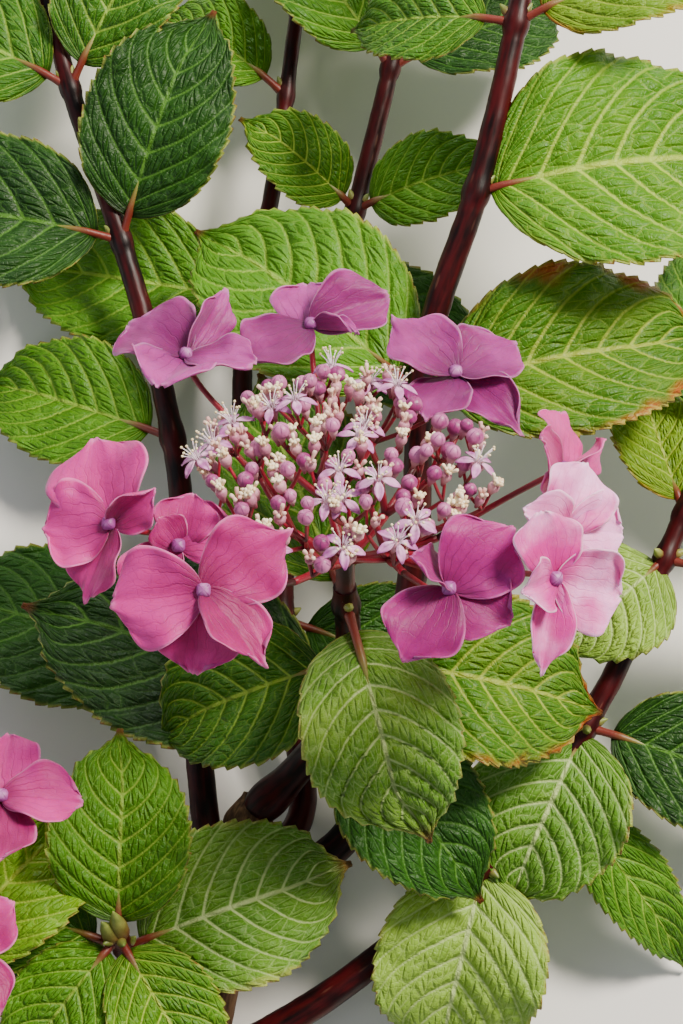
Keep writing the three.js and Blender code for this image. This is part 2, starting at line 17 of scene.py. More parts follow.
import bpy
import numpy as np
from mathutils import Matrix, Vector

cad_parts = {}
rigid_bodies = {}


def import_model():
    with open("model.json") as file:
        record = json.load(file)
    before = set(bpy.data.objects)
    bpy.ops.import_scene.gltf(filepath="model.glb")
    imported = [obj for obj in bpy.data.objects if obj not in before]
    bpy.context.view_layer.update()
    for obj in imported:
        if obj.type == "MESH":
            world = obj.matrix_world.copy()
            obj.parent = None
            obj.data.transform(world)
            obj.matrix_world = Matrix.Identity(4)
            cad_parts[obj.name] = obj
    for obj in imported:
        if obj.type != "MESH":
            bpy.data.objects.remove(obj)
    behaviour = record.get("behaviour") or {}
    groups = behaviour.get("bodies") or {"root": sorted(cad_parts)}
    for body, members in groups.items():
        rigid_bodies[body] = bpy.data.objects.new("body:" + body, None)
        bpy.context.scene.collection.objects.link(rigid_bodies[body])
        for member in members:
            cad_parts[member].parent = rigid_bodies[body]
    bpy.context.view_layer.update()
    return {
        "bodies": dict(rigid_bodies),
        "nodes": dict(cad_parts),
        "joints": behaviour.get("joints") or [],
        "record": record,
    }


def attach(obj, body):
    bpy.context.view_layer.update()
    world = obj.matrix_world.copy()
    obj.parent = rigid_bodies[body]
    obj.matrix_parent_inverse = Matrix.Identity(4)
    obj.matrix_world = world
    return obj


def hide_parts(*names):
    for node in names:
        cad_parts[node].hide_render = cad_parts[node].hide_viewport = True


LOG = logging.getLogger("branch")
MM = 0.001
BODY = "root"
SEED = 20240717
FULL_TURN = 2 * math.pi
GOLDEN_ANGLE = math.radians(137.5)
CAMERA_RISE = math.radians(75)
# Points of small shapes that are closer than this, in metres, are one
MERGED_M = 1e-7
UP = np.array([0.0, 0.0, 1.0])
RIGHT = np.array([1.0, 0.0, 0.0])
FORWARD = np.array([0.0, 1.0, 0.0])
UPWARD = np.array([0.0, math.sin(CAMERA_RISE), math.cos(CAMERA_RISE)])
TOWARD = np.array([0.0, -math.cos(CAMERA_RISE), math.sin(CAMERA_RISE)])

Array = np.ndarray
Dice = np.random.Generator
Piece = bpy.types.Object
Material = bpy.types.Material
Pair = tuple[float, float]
Triple = tuple[float, float, float]
Numbers = tuple[float, ...]
Counts = tuple[int, int]


# The plan of the branch, in millimetres, measured from the floor under the main flower head


@dataclass(frozen=True)
class Stem:
    """One tapering limb: the points it runs through, and its radii at root and tip."""

    through: Sequence[Sequence[float]]
    radius: Pair


STEMS = {
    "cane": Stem([(-44, -190, 7), (-39, -140, 8), (-31, -98, 11), (-24, -62, 16)], (7, 5.5)),
    "main": Stem(
        [(-26, -69, 15), (-11, -56, 28), (1, -42, 51), (1, -33, 72), (0, -23.5, 91.4)],
        (4.6, 2.9),
    ),
    "second": Stem([(-39, -140, 8), (-66, -136, 22), (-94, -124, 48), (-107.6, -106.3, 72.4)], (4.2, 2.7)),
    "right": Stem(
        [
            (-29, -92, 12), (2, -72, 20), (17, -14, 48), (21, 44, 70),
            (34, 83, 85), (45, 130, 95), (50, 168, 99),
        ],
        (4.6, 2.6),
    ),
    "top": Stem(
        [
            (-28, -84, 12), (-12, -68, 10), (-17, -20, 18), (-13, 40, 24),
            (2, 94, 30), (15, 148, 38), (20, 178, 42),
        ],
        (3.8, 2.2),
    ),
    "upper": Stem(
        [(-16.5, -10, 19), (-27, 30, 22), (-27, 70, 22), (-20, 106, 26), (-13, 160, 32)],
        (3.2, 2.0),
    ),
    "left": Stem(
        [(-33, -106, 10), (-40, -40, 18), (-46, 30, 25), (-60, 84, 33), (-75, 128, 40), (-86, 168, 44)],
        (4.0, 2.3),
    ),
    "side": Stem(
        [(-38, -134, 8), (0, -112, 15), (42, -76, 28), (67, -40, 36), (84, -4, 42), (98, 28, 45)],
        (4.2, 2.4),
    ),
    "low": Stem([(-36, -126, 9), (-48, -118, 26), (-54, -108, 50), (-56, -104, 62)], (3.4, 2.2)),
}


@dataclass(frozen=True)
class Veins:
    """The side veins of a leaf: their number, and how far each runs on towards the tip across the blade.

    The rungs join them, and are counted from the midrib to the edge.
    """

    count: float = 8.0
    lean: float = 0.2
    arch: float = 0.16
    rungs: float = 9.0


VEINS = Veins()


class Tint(Enum):
    """A leaf's colours: its own state, or painted sunlight for pale sunlit and painted shade for shade."""

    FRESH = "fresh"
    PALE = "pale"
    MATURE = "mature"
    SHADE = "shade"
    TURNING = "turning"


@dataclass(frozen=True)
class Leaf:
    """One leaf: where it stands on its stem, the place of its tip, and its shape as shares of its length.

    It folds up from its midrib and curls back to its edges, in degrees. Its hem turns one edge further up,
    the right one if it is positive, and its hook bends the tip aside. Its lobes reach back beside the stalk,
    and puckers is how deep it is quilted against a usual leaf.
    """

    at: float
    tip: Triple
    petiole: float = 10.0
    width: float = 0.68
    arch: float = 0.14
    fold: float = 14.0
    curl: float = -10.0
    wave: float = 0.08
    tint: Tint = Tint.MATURE
    hem: float = 0.0
    hook: float = 0.0
    lobes: float = 0.04
    puckers: float = 1.0


# The pale sunlit tint paints sunlight on a leaf, and the shade tint paints shade on it
SINGLE_LEAVES = {
    "cane": [Leaf(0.28, (26, -176, 1), arch=0.06)],
    "main": [
        Leaf(
            0.93, (15, -84, 73), 17, 0.8, 0.2, fold=8, curl=-26, tint=Tint.PALE,
            hem=36, hook=-0.06, lobes=0.14, puckers=2.3,
        ),
        Leaf(0.93, (-24, 38, 66), arch=0.04),
        Leaf(0.7, (-48, -52, 50), arch=0.16, width=0.8),
        Leaf(0.7, (66, -45, 44), width=0.74, tint=Tint.TURNING),
        Leaf(0.42, (36, -92, 34), width=0.72, tint=Tint.SHADE),
        Leaf(0.42, (-84, -12, 32), arch=0.08, tint=Tint.SHADE),
    ],
    "second": [
        Leaf(0.55, (-66, -176, 4)),
        Leaf(0.55, (-146, -158, 6), tint=Tint.SHADE),
        Leaf(0.86, (-62, -68, 52), tint=Tint.FRESH),
        Leaf(0.86, (-168, -122, 34)),
    ],
    "right": [
        Leaf(0.52, (97, 52, 50), arch=0.16, width=0.62, tint=Tint.TURNING),
        Leaf(0.52, (-39, 89, 40), arch=0.08),
    ],
    "top": [Leaf(0.28, (46, -34, 1), arch=0.04, tint=Tint.SHADE)],
    "left": [
        Leaf(0.5, (-102, 58, 1), arch=0.06),
        Leaf(0.28, (-112, -4, 1), arch=0.04, tint=Tint.SHADE),
    ],
    "side": [
        Leaf(0.42, (24, -132, 1), petiole=4, width=0.84, tint=Tint.PALE),
        Leaf(0.62, (42, -92, 22), petiole=4, width=0.9, tint=Tint.PALE),
        Leaf(0.62, (118, -66, 20), tint=Tint.SHADE),
        Leaf(0.54, (92, -106, 2), width=0.36),
    ],
    "low": [
        Leaf(0.45, (-18, -86, 22), tint=Tint.SHADE),
        Leaf(0.45, (-96, -108, 12), tint=Tint.SHADE),
    ],
}
SPRAY_LEAVES = {
    "right": [
        Leaf(0.7, (112, 97, 66), petiole=7, width=0.76, tint=Tint.FRESH),
        Leaf(0.85, (98, 146, 88), tint=Tint.TURNING),
        Leaf(0.85, (2, 132, 72)),
        Leaf(0.99, (82, 210, 82), tint=Tint.FRESH),
        Leaf(0.99, (20, 214, 80), tint=Tint.FRESH),
    ],
    "top": [
        Leaf(0.7, (44, 108, 40), petiole=7),
        Leaf(0.7, (-28, 120, 44), petiole=7, tint=Tint.FRESH),
        Leaf(0.85, (-22, 182, 40)),
        Leaf(0.85, (62, 162, 20), tint=Tint.SHADE),
        Leaf(0.99, (54, 230, 1)),
        Leaf(0.99, (-4, 228, 12), tint=Tint.FRESH),
    ],
    "upper": [
        Leaf(0.5, (-96, 92, 4), arch=0.02),
        Leaf(0.5, (44, 62, 1), arch=0.04, tint=Tint.SHADE),
        Leaf(0.84, (-52, 162, 20)),
        Leaf(0.99, (-34, 212, 1)),
        Leaf(0.99, (4, 200, 6), tint=Tint.SHADE),
    ],
    "left": [
        Leaf(0.7, (-134, 100, 22), tint=Tint.SHADE),
        Leaf(0.7, (-38, 150, 48), tint=Tint.SHADE),
        Leaf(0.86, (-138, 162, 22)),
        Leaf(0.86, (-46, 184, 44)),
        Leaf(0.99, (-118, 214, 18)),
        Leaf(0.99, (-80, 224, 26), tint=Tint.FRESH),
    ],
    "side": [
        Leaf(0.84, (56, -30, 40), petiole=4, width=0.9, tint=Tint.PALE),
        Leaf(0.84, (144, -24, 30)),
        Leaf(0.9, (78, 50, 36), arch=0.02, petiole=6, tint=Tint.TURNING),
        Leaf(0.99, (150, 60, 30), tint=Tint.FRESH),
        Leaf(0.99, (104, 90, 26)),
    ],
    "low": [
        Leaf(0.86, (2, -86, 44), petiole=7, width=0.74, tint=Tint.PALE),
        Leaf(0.86, (-104, -90, 48)),
        Leaf(0.97, (-54, -54, 66), petiole=6, width=0.76),
        Leaf(0.97, (-32, -142, 50), petiole=6, tint=Tint.FRESH),
        Leaf(0.97, (-82, -138, 50), petiole=6),
    ],
}


@dataclass(frozen=True)
class Bloom:
    """A flower head: the middle of its disc of small flowers, the way it faces, its count and radius."""

    centre: Triple
    faces: Triple
    flowers: int
    radius: float


BLOOMS = {
    "main": Bloom((0, 0, 125), (0, 0.574, 0.819), 164, 37),
    "second": Bloom((-122, -92, 108), (-0.35, 0.35, 0.87), 104, 31),
}


class Tone(Enum):
    """The pink of a floret: rose its own, pale with painted sunlight, deep and mauve with painted shade."""

    DEEP = "deep"
    MAUVE = "mauve"
    ROSE = "rose"
    PALE = "pale"


@dataclass(frozen=True)
class Sepal:
    """One sepal: its turn as seen, length, width, lift off the floret's plane and roll about its length.

    It folds up from its midrib. Its hem turns one edge up, the right one if it is positive. Its tip is drawn
    out by point and bends down by dip, each as a share of the length.
    """

    turn: float
    length: float
    width: float
    lift: float = 0.0
    roll: float = 0.0
    fold: float = 10.0
    hem: float = 0.0
    point: float = 0.0
    dip: float = 0.0


@dataclass(frozen=True)
class Floret:
    """A ray floret: its place across, along and over the disc, the way it faces, its tone and sepals."""

    at: Triple
    faces: Pair
    tone: Tone
    sepals: Sequence[Sepal]


# The pale florets on the right carry painted sunlight, and the mauve ones at the top and the deep one below
# painted shade
MAIN_FLORETS = [
    Floret(
        (-38.7, 38.7, 0), (0, 0.62), Tone.MAUVE,
        [
            Sepal(145, 19, 25, 5, dip=0.05),
            Sepal(61, 21, 15, 15, 60, fold=38, point=0.1),
            Sepal(-12, 18, 19, 15, -20, hem=-30),
            Sepal(246, 20, 24, 30, fold=22, hem=-35),
        ],
    ),
    Floret(
        (-8.4, 51, 0), (0, 0.72), Tone.MAUVE,
        [
            Sepal(205, 19, 22, hem=20),
            Sepal(95, 17, 20, 10),
            Sepal(22, 22, 20, 10, 30, fold=16, hem=-30),
            Sepal(-25, 15, 10, 25, -50, fold=42, hem=40),
        ],
    ),
    Floret(
        (26.7, 31.5, 0), (0.1, 0.6), Tone.MAUVE,
        [
            Sepal(143, 20, 20, 15, point=0.08),
            Sepal(235, 16, 18, 10, 20),
            Sepal(25, 18, 23, 10, -10),
            Sepal(-42, 21, 18, 6, fold=30, hem=45, point=0.1),
        ],
    ),
    Floret(
        (50.2, -5.4, 0), (0.75, 0.35), Tone.ROSE,
        [Sepal(80, 19, 16), Sepal(35, 22, 13, 10, 50, fold=36), Sepal(150, 14, 14, 25), Sepal(275, 15, 19)],
    ),
    Floret(
        (50, -25.1, -2), (0.45, 0.1), Tone.PALE,
        [Sepal(70, 17, 20), Sepal(0, 17, 20, hem=30), Sepal(160, 14, 16, 20, fold=26), Sepal(260, 14, 18)],
    ),
    Floret(
        (45.6, -46.6, 3), (0.35, -0.1), Tone.PALE,
        [
            Sepal(-15, 18, 22, hem=25),
            Sepal(262, 20, 13, 10, fold=28, point=0.08),
            Sepal(195, 11, 14, 30, fold=25),
            Sepal(100, 15, 17, 10),
        ],
    ),
    Floret(
        (22.8, -47, 0), (-0.1, 0.35), Tone.DEEP,
        [
            Sepal(42, 19, 22, 15, 20, hem=-40, point=0.05),
            Sepal(-25, 15, 18, 5),
            Sepal(236, 19, 20, 10, fold=16),
            Sepal(145, 13, 14, 42, 50, fold=30),
        ],
    ),
    Floret(
        (-31, -47.4, 0), (0.05, 0.1), Tone.ROSE,
        [
            Sepal(188, 20, 24, dip=0.04),
            Sepal(35, 21, 21, 5, hem=-35, point=0.12),
            Sepal(-50, 20, 16, 15, -30, fold=24, point=0.1),
            Sepal(-97, 18, 20, -10),
        ],
    ),
    Floret(
        (-53, -24.8, 0), (-0.3, 0.2), Tone.ROSE,
        [
            Sepal(104, 21, 26, dip=0.04),
            Sepal(33, 14, 14, 22, 35, fold=46, hem=30),
            Sepal(184, 16, 22, 10, hem=20),
            Sepal(250, 17, 17, 0, 20, point=0.08),
        ],
    ),
    Floret(
        (-38, -21, -10), (-0.1, 0.3), Tone.ROSE,
        [Sepal(20, 14, 17, 5), Sepal(75, 13, 16, 15), Sepal(222, 17, 16), Sepal(128, 9, 10, 35)],
    ),
]


# Lines and shapes

# A direction counts as steep or sideways once it lies this far along the axis
STEEP = 0.9
SIDEWAYS = 0.8


def unit(vector: Array) -> Array:
    """Returns a vector, or each row of an array of them, at length one."""
    return vector / np.linalg.norm(vector, axis=-1, keepdims=True)


class Line:
    """A smooth line that is walked by shares of its length."""

    def __init__(self, points: Array) -> None:
        """Measures the line.

        Args:
            points: The closely spaced points that it runs through, one row each.
        """
        self.points = points
        steps = np.linalg.norm(np.diff(points, axis=0), axis=1)
        self.length = float(steps.sum())
        self.shares = np.concatenate([[0.0], np.cumsum(steps)]) / self.length

    def at(self, share: Array | float) -> Array:
        """Returns the points at one or more shares of the length."""
        return np.stack([np.interp(share, self.shares, self.points[:, k]) for k in range(3)], axis=-1)

    def ahead(self, share: Array | float) -> Array:
        """Finds which way the line runs.

        Args:
            share: One or more shares of the length.

        Returns:
            The directions there.
        """
        step = 0.004
        inner = np.clip(share, step, 1 - step)
        return unit(self.at(inner + step) - self.at(inner - step))


def smooth_line(through: Sequence[Sequence[float]], count: int = 60) -> Line:
    """Draws a centripetal spline.

    Args:
        through: The few points that the line passes.
        count: The number of points from each of them to the next.

    Returns:
        The line from the first point to the last.
    """
    p = np.array(through, float)
    p = np.vstack([2 * p[0] - p[1], p, 2 * p[-1] - p[-2]])
    gap = np.linalg.norm(np.diff(p, axis=0), axis=1) ** 0.5
    t = np.linspace(0, 1, count)[:, None]
    parts = []
    for k in range(1, len(p) - 2):
        a, b, c = gap[k - 1], gap[k], gap[k + 1]
        leave = b * ((p[k] - p[k - 1]) / a - (p[k + 1] - p[k - 1]) / (a + b) + (p[k + 1] - p[k]) / b)
        reach = b * ((p[k + 1] - p[k]) / b - (p[k + 2] - p[k]) / (b + c) + (p[k + 2] - p[k + 1]) / c)
        square = -3 * p[k] + 3 * p[k + 1] - 2 * leave - reach
        cube = 2 * p[k] - 2 * p[k + 1] + leave + reach
        parts.append(p[k] + leave * t + square * t**2 + cube * t**3)
    points = np.vstack([part[:-1] for part in parts] + [p[-2]])
    return Line(points)


def bent_line(start: Array, middle: Array, end: Array, count: int = 40) -> Line:
    """Returns the line of count points that leaves start towards middle and comes to end from there."""
    t = np.linspace(0, 1, count)[:, None]
    return Line((1 - t) ** 2 * start + 2 * t * (1 - t) * middle + t**2 * end)


def straight_line(start: Array, end: Array) -> Line:
    """Returns the straight line from start to end."""
    return Line(np.stack([start, end]))


def tube(line: Line, radii: Sequence[float], steps: int, sides: int) -> Array:
    """Lays rings of points round a line.

    Args:
        line: The middle of the tube.
        radii: Its radius at even shares of its length.
        steps: The number of rings, less one.
        sides: The number of points in each ring.

    Returns:
        The rings, with one of no width added at each end, so that the tube closes.
    """
    shares = np.linspace(0, 1, steps + 1)
    middle = line.at(shares)
    ahead = line.ahead(shares)
    away = UP if abs(unit(middle[-1] - middle[0]).dot(UP)) < STEEP else RIGHT
    side = unit(np.cross(ahead, away))
    over = np.cross(ahead, side)
    turn = np.linspace(0, FULL_TURN, sides, endpoint=False)
    width = np.interp(shares, np.linspace(0, 1, len(radii)), radii)[:, None, None]
    ring = side[:, None] * np.cos(turn)[None, :, None] + over[:, None] * np.sin(turn)[None, :, None]
    rings = middle[:, None] + width * ring
    ends = [np.repeat(middle[k][None, None], sides, axis=1) for k in (0, -1)]
    return np.concatenate([ends[0], rings, ends[1]])


def ease(value: Array, start: float, end: float) -> Array:
    """Returns 0 up to start, 1 from end on, and a smooth rise between."""
    share = np.clip((value - start) / (end - start), 0, 1)
    return share * share * (3 - 2 * share)


def bent_across(half: Array, v: Array, slope: Array) -> tuple[Array, Array]:
    """Walks from the midrib of a blade to both of its edges.

    Args:
        half: Half the width at each row, as a column.
        v: The places across, from -1 to 1, with the midrib in the middle.
        slope: How steep the blade runs upwards to the right at each point, in radians.

    Returns:
        How far each point lies to the right of the midrib and above it.
    """
    middle = len(v) // 2
    between = (slope[:, 1:] + slope[:, :-1]) / 2
    steps = np.diff(v)[None] * half
    right = np.cumsum(np.hstack([0 * half, np.cos(between) * steps]), axis=1)
    above = np.cumsum(np.hstack([0 * half, np.sin(between) * steps]), axis=1)
    return right - right[:, middle : middle + 1], above - above[:, middle : middle + 1]


def pod(root: Array, tip: Array, radius: float, shape: Sequence[float], sides: int = 8) -> Array:
    """Returns the rings of a straight bud, whose shape is its radius as shares of the widest one."""
    return tube(straight_line(root, tip), [radius * share for share in shape], 2 * len(shape), sides)


def bead_angles(rows: int, columns: int) -> tuple[Array, Array]:
    """Returns how high each row of a bead rises from its middle, as a column, and each column's turn."""
    return np.linspace(-math.pi / 2, math.pi / 2, rows)[:, None], np.linspace(0, FULL_TURN, columns)


def bead(rise: Array, turn: Array, radius: Array, height: float) -> Array:
    """Lays rows of points round an upright bead.

    Args:
        rise: How high each row rises from the middle, as a column of angles in radians.
        turn: How far each column is turned, in radians.
        radius: The radius that each point would have at the middle.
        height: Half the height of the bead.

    Returns:
        The rows, from the foot to the top.
    """
    width = radius * np.cos(rise)
    up = np.broadcast_to(height * np.sin(rise), width.shape)
    return np.stack([width * np.cos(turn), width * np.sin(turn), up], axis=-1)


def spoke(angle: float, reach: float, height: float) -> Array:
    """Returns the point at an angle round an upright axis, at a reach from it and a height."""
    return np.array([reach * math.cos(angle), reach * math.sin(angle), height])


@dataclass(frozen=True)
class Wave:
    """A wave over a blade: its height, and how far it turns across half of it and along it, in radians."""

    height: float
    across: float
    along: float

    def at(self, u: Array, v: Array, phase: float = 0.0) -> Array:
        """Returns how high it is at shares u along the blade and places v across it, from -1 to 1."""
        return self.height * np.sin(self.along * u + self.across * v + phase)


def standing(axis: Array) -> Array:
    """Stands a small frame on an axis.

    Args:
        axis: The direction of its third axis.

    Returns:
        Its three directions, as rows.
    """
    away = RIGHT if abs(axis.dot(RIGHT)) < SIDEWAYS else FORWARD
    first = unit(np.cross(away, axis))
    return np.stack([first, np.cross(axis, first), axis])


class Bag:
    """Gathers many small shapes, each a grid of points, into one mesh."""

    def __init__(self) -> None:
        """Starts empty."""
        self.points: list[Array] = []
        self.faces: list[Array] = []
        self.places: list[Array] = []
        self.chances: list[Array] = []
        self.count = 0

    def add(self, grid: Array, round_shape: bool, places: Array | None = None, chance: float = 0.5) -> None:
        """Adds one shape.

        Args:
            grid: Rows of points.
            round_shape: Whether the last point of each row joins the first one.
            places: The share along and across the shape of each point, for its pattern.
            chance: A number from 0 to 1 that sets the shape's own shade among its kind.
        """
        rows, columns = grid.shape[:2]
        index = np.arange(rows * columns).reshape(rows, columns) + self.count
        following = np.roll(index, -1, axis=1) if round_shape else index[:, 1:]
        here = index if round_shape else index[:, :-1]
        faces = np.stack([here[:-1], following[:-1], following[1:], here[1:]], axis=-1)
        if places is None:
            along = np.repeat(np.linspace(0, 1, rows)[:, None], columns, axis=1)
            around = np.repeat(np.linspace(0, 1, columns)[None], rows, axis=0)
            places = np.stack([along, around], axis=-1)
        self.points.append(grid.reshape(-1, 3))
        self.faces.append(faces.reshape(-1, 4))
        self.places.append(places.reshape(-1, 2))
        self.chances.append(np.full(rows * columns, chance))
        self.count += rows * columns

    def make(self, name: str, origin: Array, materials: Sequence[Material]) -> Piece:
        """Makes the mesh and leaves it as the active object.

        Args:
            name: The name of the piece.
            origin: The plan's own origin in the frame, in millimetres.
            materials: The finishes, one for each of its slots.

        Returns:
            The piece, with its doubled points merged.
        """
        corners = np.vstack(self.faces)
        mesh = bpy.data.meshes.new(name)
        mesh.vertices.add(self.count)
        mesh.vertices.foreach_set("co", ((np.vstack(self.points) + origin) * MM).ravel())
        mesh.loops.add(corners.size)
        mesh.loops.foreach_set("vertex_index", corners.ravel())
        mesh.polygons.add(len(corners))
        mesh.polygons.foreach_set("loop_start", np.arange(len(corners)) * corners.shape[1])
        mesh.polygons.foreach_set("use_smooth", np.ones(len(corners), bool))
        pattern = mesh.uv_layers.new(name="Blade")
        pattern.uv.foreach_set("vector", np.vstack(self.places)[corners.ravel()].ravel())
        chance = mesh.attributes.new(name="Chance", type="FLOAT", domain="POINT")
        chance.data.foreach_set("value", np.concatenate(self.chances))
        mesh.update(calc_edges=True)
        piece = bpy.data.objects.new(name, mesh)
        bpy.context.collection.objects.link(piece)
        for material in materials:
            mesh.materials.append(material)
        select_only(piece)
        bpy.ops.object.mode_set(mode="EDIT")
        bpy.ops.mesh.select_all(action="SELECT")
        bpy.ops.mesh.remove_doubles(threshold=MERGED_M)
        bpy.ops.object.mode_set(mode="OBJECT")
        return piece


def select_only(piece: Piece) -> None:
    """Makes one object the only selected one, and the active one.

    Args:
        piece: The object.
    """
    bpy.ops.object.select_all(action="DESELECT")
    piece.select_set(True)
    bpy.context.view_layer.objects.active = piece


def finish_with(piece: Piece, kind: str, **settings: Any) -> None:
    """Adds a modifier to a piece and applies it.

    Args:
        piece: The object to finish.
        kind: The modifier's type.
        **settings: Its properties.
    """
    select_only(piece)
    modifier = piece.modifiers.new(kind.lower(), kind)
    for key, value in settings.items():
        setattr(modifier, key, value)
    bpy.ops.object.modifier_apply(modifier=modifier.name)


# Finishes


def colour(code: str) -> tuple[float, float, float, float]:
    """Turns an sRGB hex value to a linear colour.

    Args:
        code: Six hex digits after a hash sign.

    Returns:
        Red, green, blue and an alpha of one.
    """
    shares = [int(code[k : k + 2], 16) / 255 for k in (1, 3, 5)]
    linear = [s / 12.92 if s <= 0.04045 else ((s + 0.055) / 1.055) ** 2.4 for s in shares]
    return (*linear, 1.0)


def per(size_mm: float) -> float:
    """Returns how often a pattern of one size repeats in a metre."""
    return 1 / (size_mm * MM)


class Weave:
    """Lays the nodes of one material."""

    def __init__(self, name: str) -> None:
        """Starts a material with an empty node tree.

        Args:
            name: The material's name.
        """
        self.material = bpy.data.materials.new(name)
        self.material.use_nodes = True
        self.tree = self.material.node_tree
        self.tree.nodes.clear()
        self.spot = self.add("TexCoord", out="Object")

    def add(
        self,
        kind: str,
        feeds: Sequence[Any] | Mapping[Any, Any] = (),
        out: int | str = 0,
        **settings: Any,
    ) -> Any:
        """Adds a node with its settings and links.

        Args:
            kind: The node's type, without the words that all types start with.
            feeds: For each input the output that feeds it, its value or its hex value.
            out: The output to return.
            **settings: The node's own properties.

        Returns:
            That output, or None for a node without outputs.
        """
        node = self.tree.nodes.new(f"ShaderNode{kind}")
        for key, value in settings.items():
            setattr(node, key, value)
        for key, value in (feeds if isinstance(feeds, Mapping) else dict(enumerate(feeds))).items():
            if isinstance(value, bpy.types.NodeSocket):
                self.tree.links.new(value, node.inputs[key])
            else:
                node.inputs[key].default_value = colour(value) if isinstance(value, str) else value
        return node.outputs[out] if node.outputs else None

    def finish(self, relief_mm: float, height: Any, **feeds: Any) -> Material:
        """Adds the shader with its relief.

        Args:
            relief_mm: How deep the relief is.
            height: The output that shapes the relief, from 0 to 1.
            **feeds: What feeds the shader's other inputs, with low lines for spaces.

        Returns:
            The material.
        """
        named = {key.replace("_", " "): value for key, value in feeds.items()}
        bump = self.add("Bump", {"Height": height, "Strength": RELIEF_STRENGTH, "Distance": relief_mm * MM})
        shader = self.add("BsdfPrincipled", {**named, "Normal": bump})
        self.add("OutputMaterial", (shader,))
        return self.material


RELIEF_STRENGTH = 0.8
# Cells stand a little closer than the rungs and meshes that they draw
CELL_CROWDING = 1.2
TIMES = {"operation": "MULTIPLY"}
TIMES_PLUS = {"operation": "MULTIPLY_ADD"}
SMOOTH = {"interpolation_type": "SMOOTHSTEP"}
EDGES = {"feature": "DISTANCE_TO_EDGE"}
FLAT_EDGES = {**EDGES, "voronoi_dimensions": "2D"}
HUES = {"data_type": "RGBA", "out": 2}


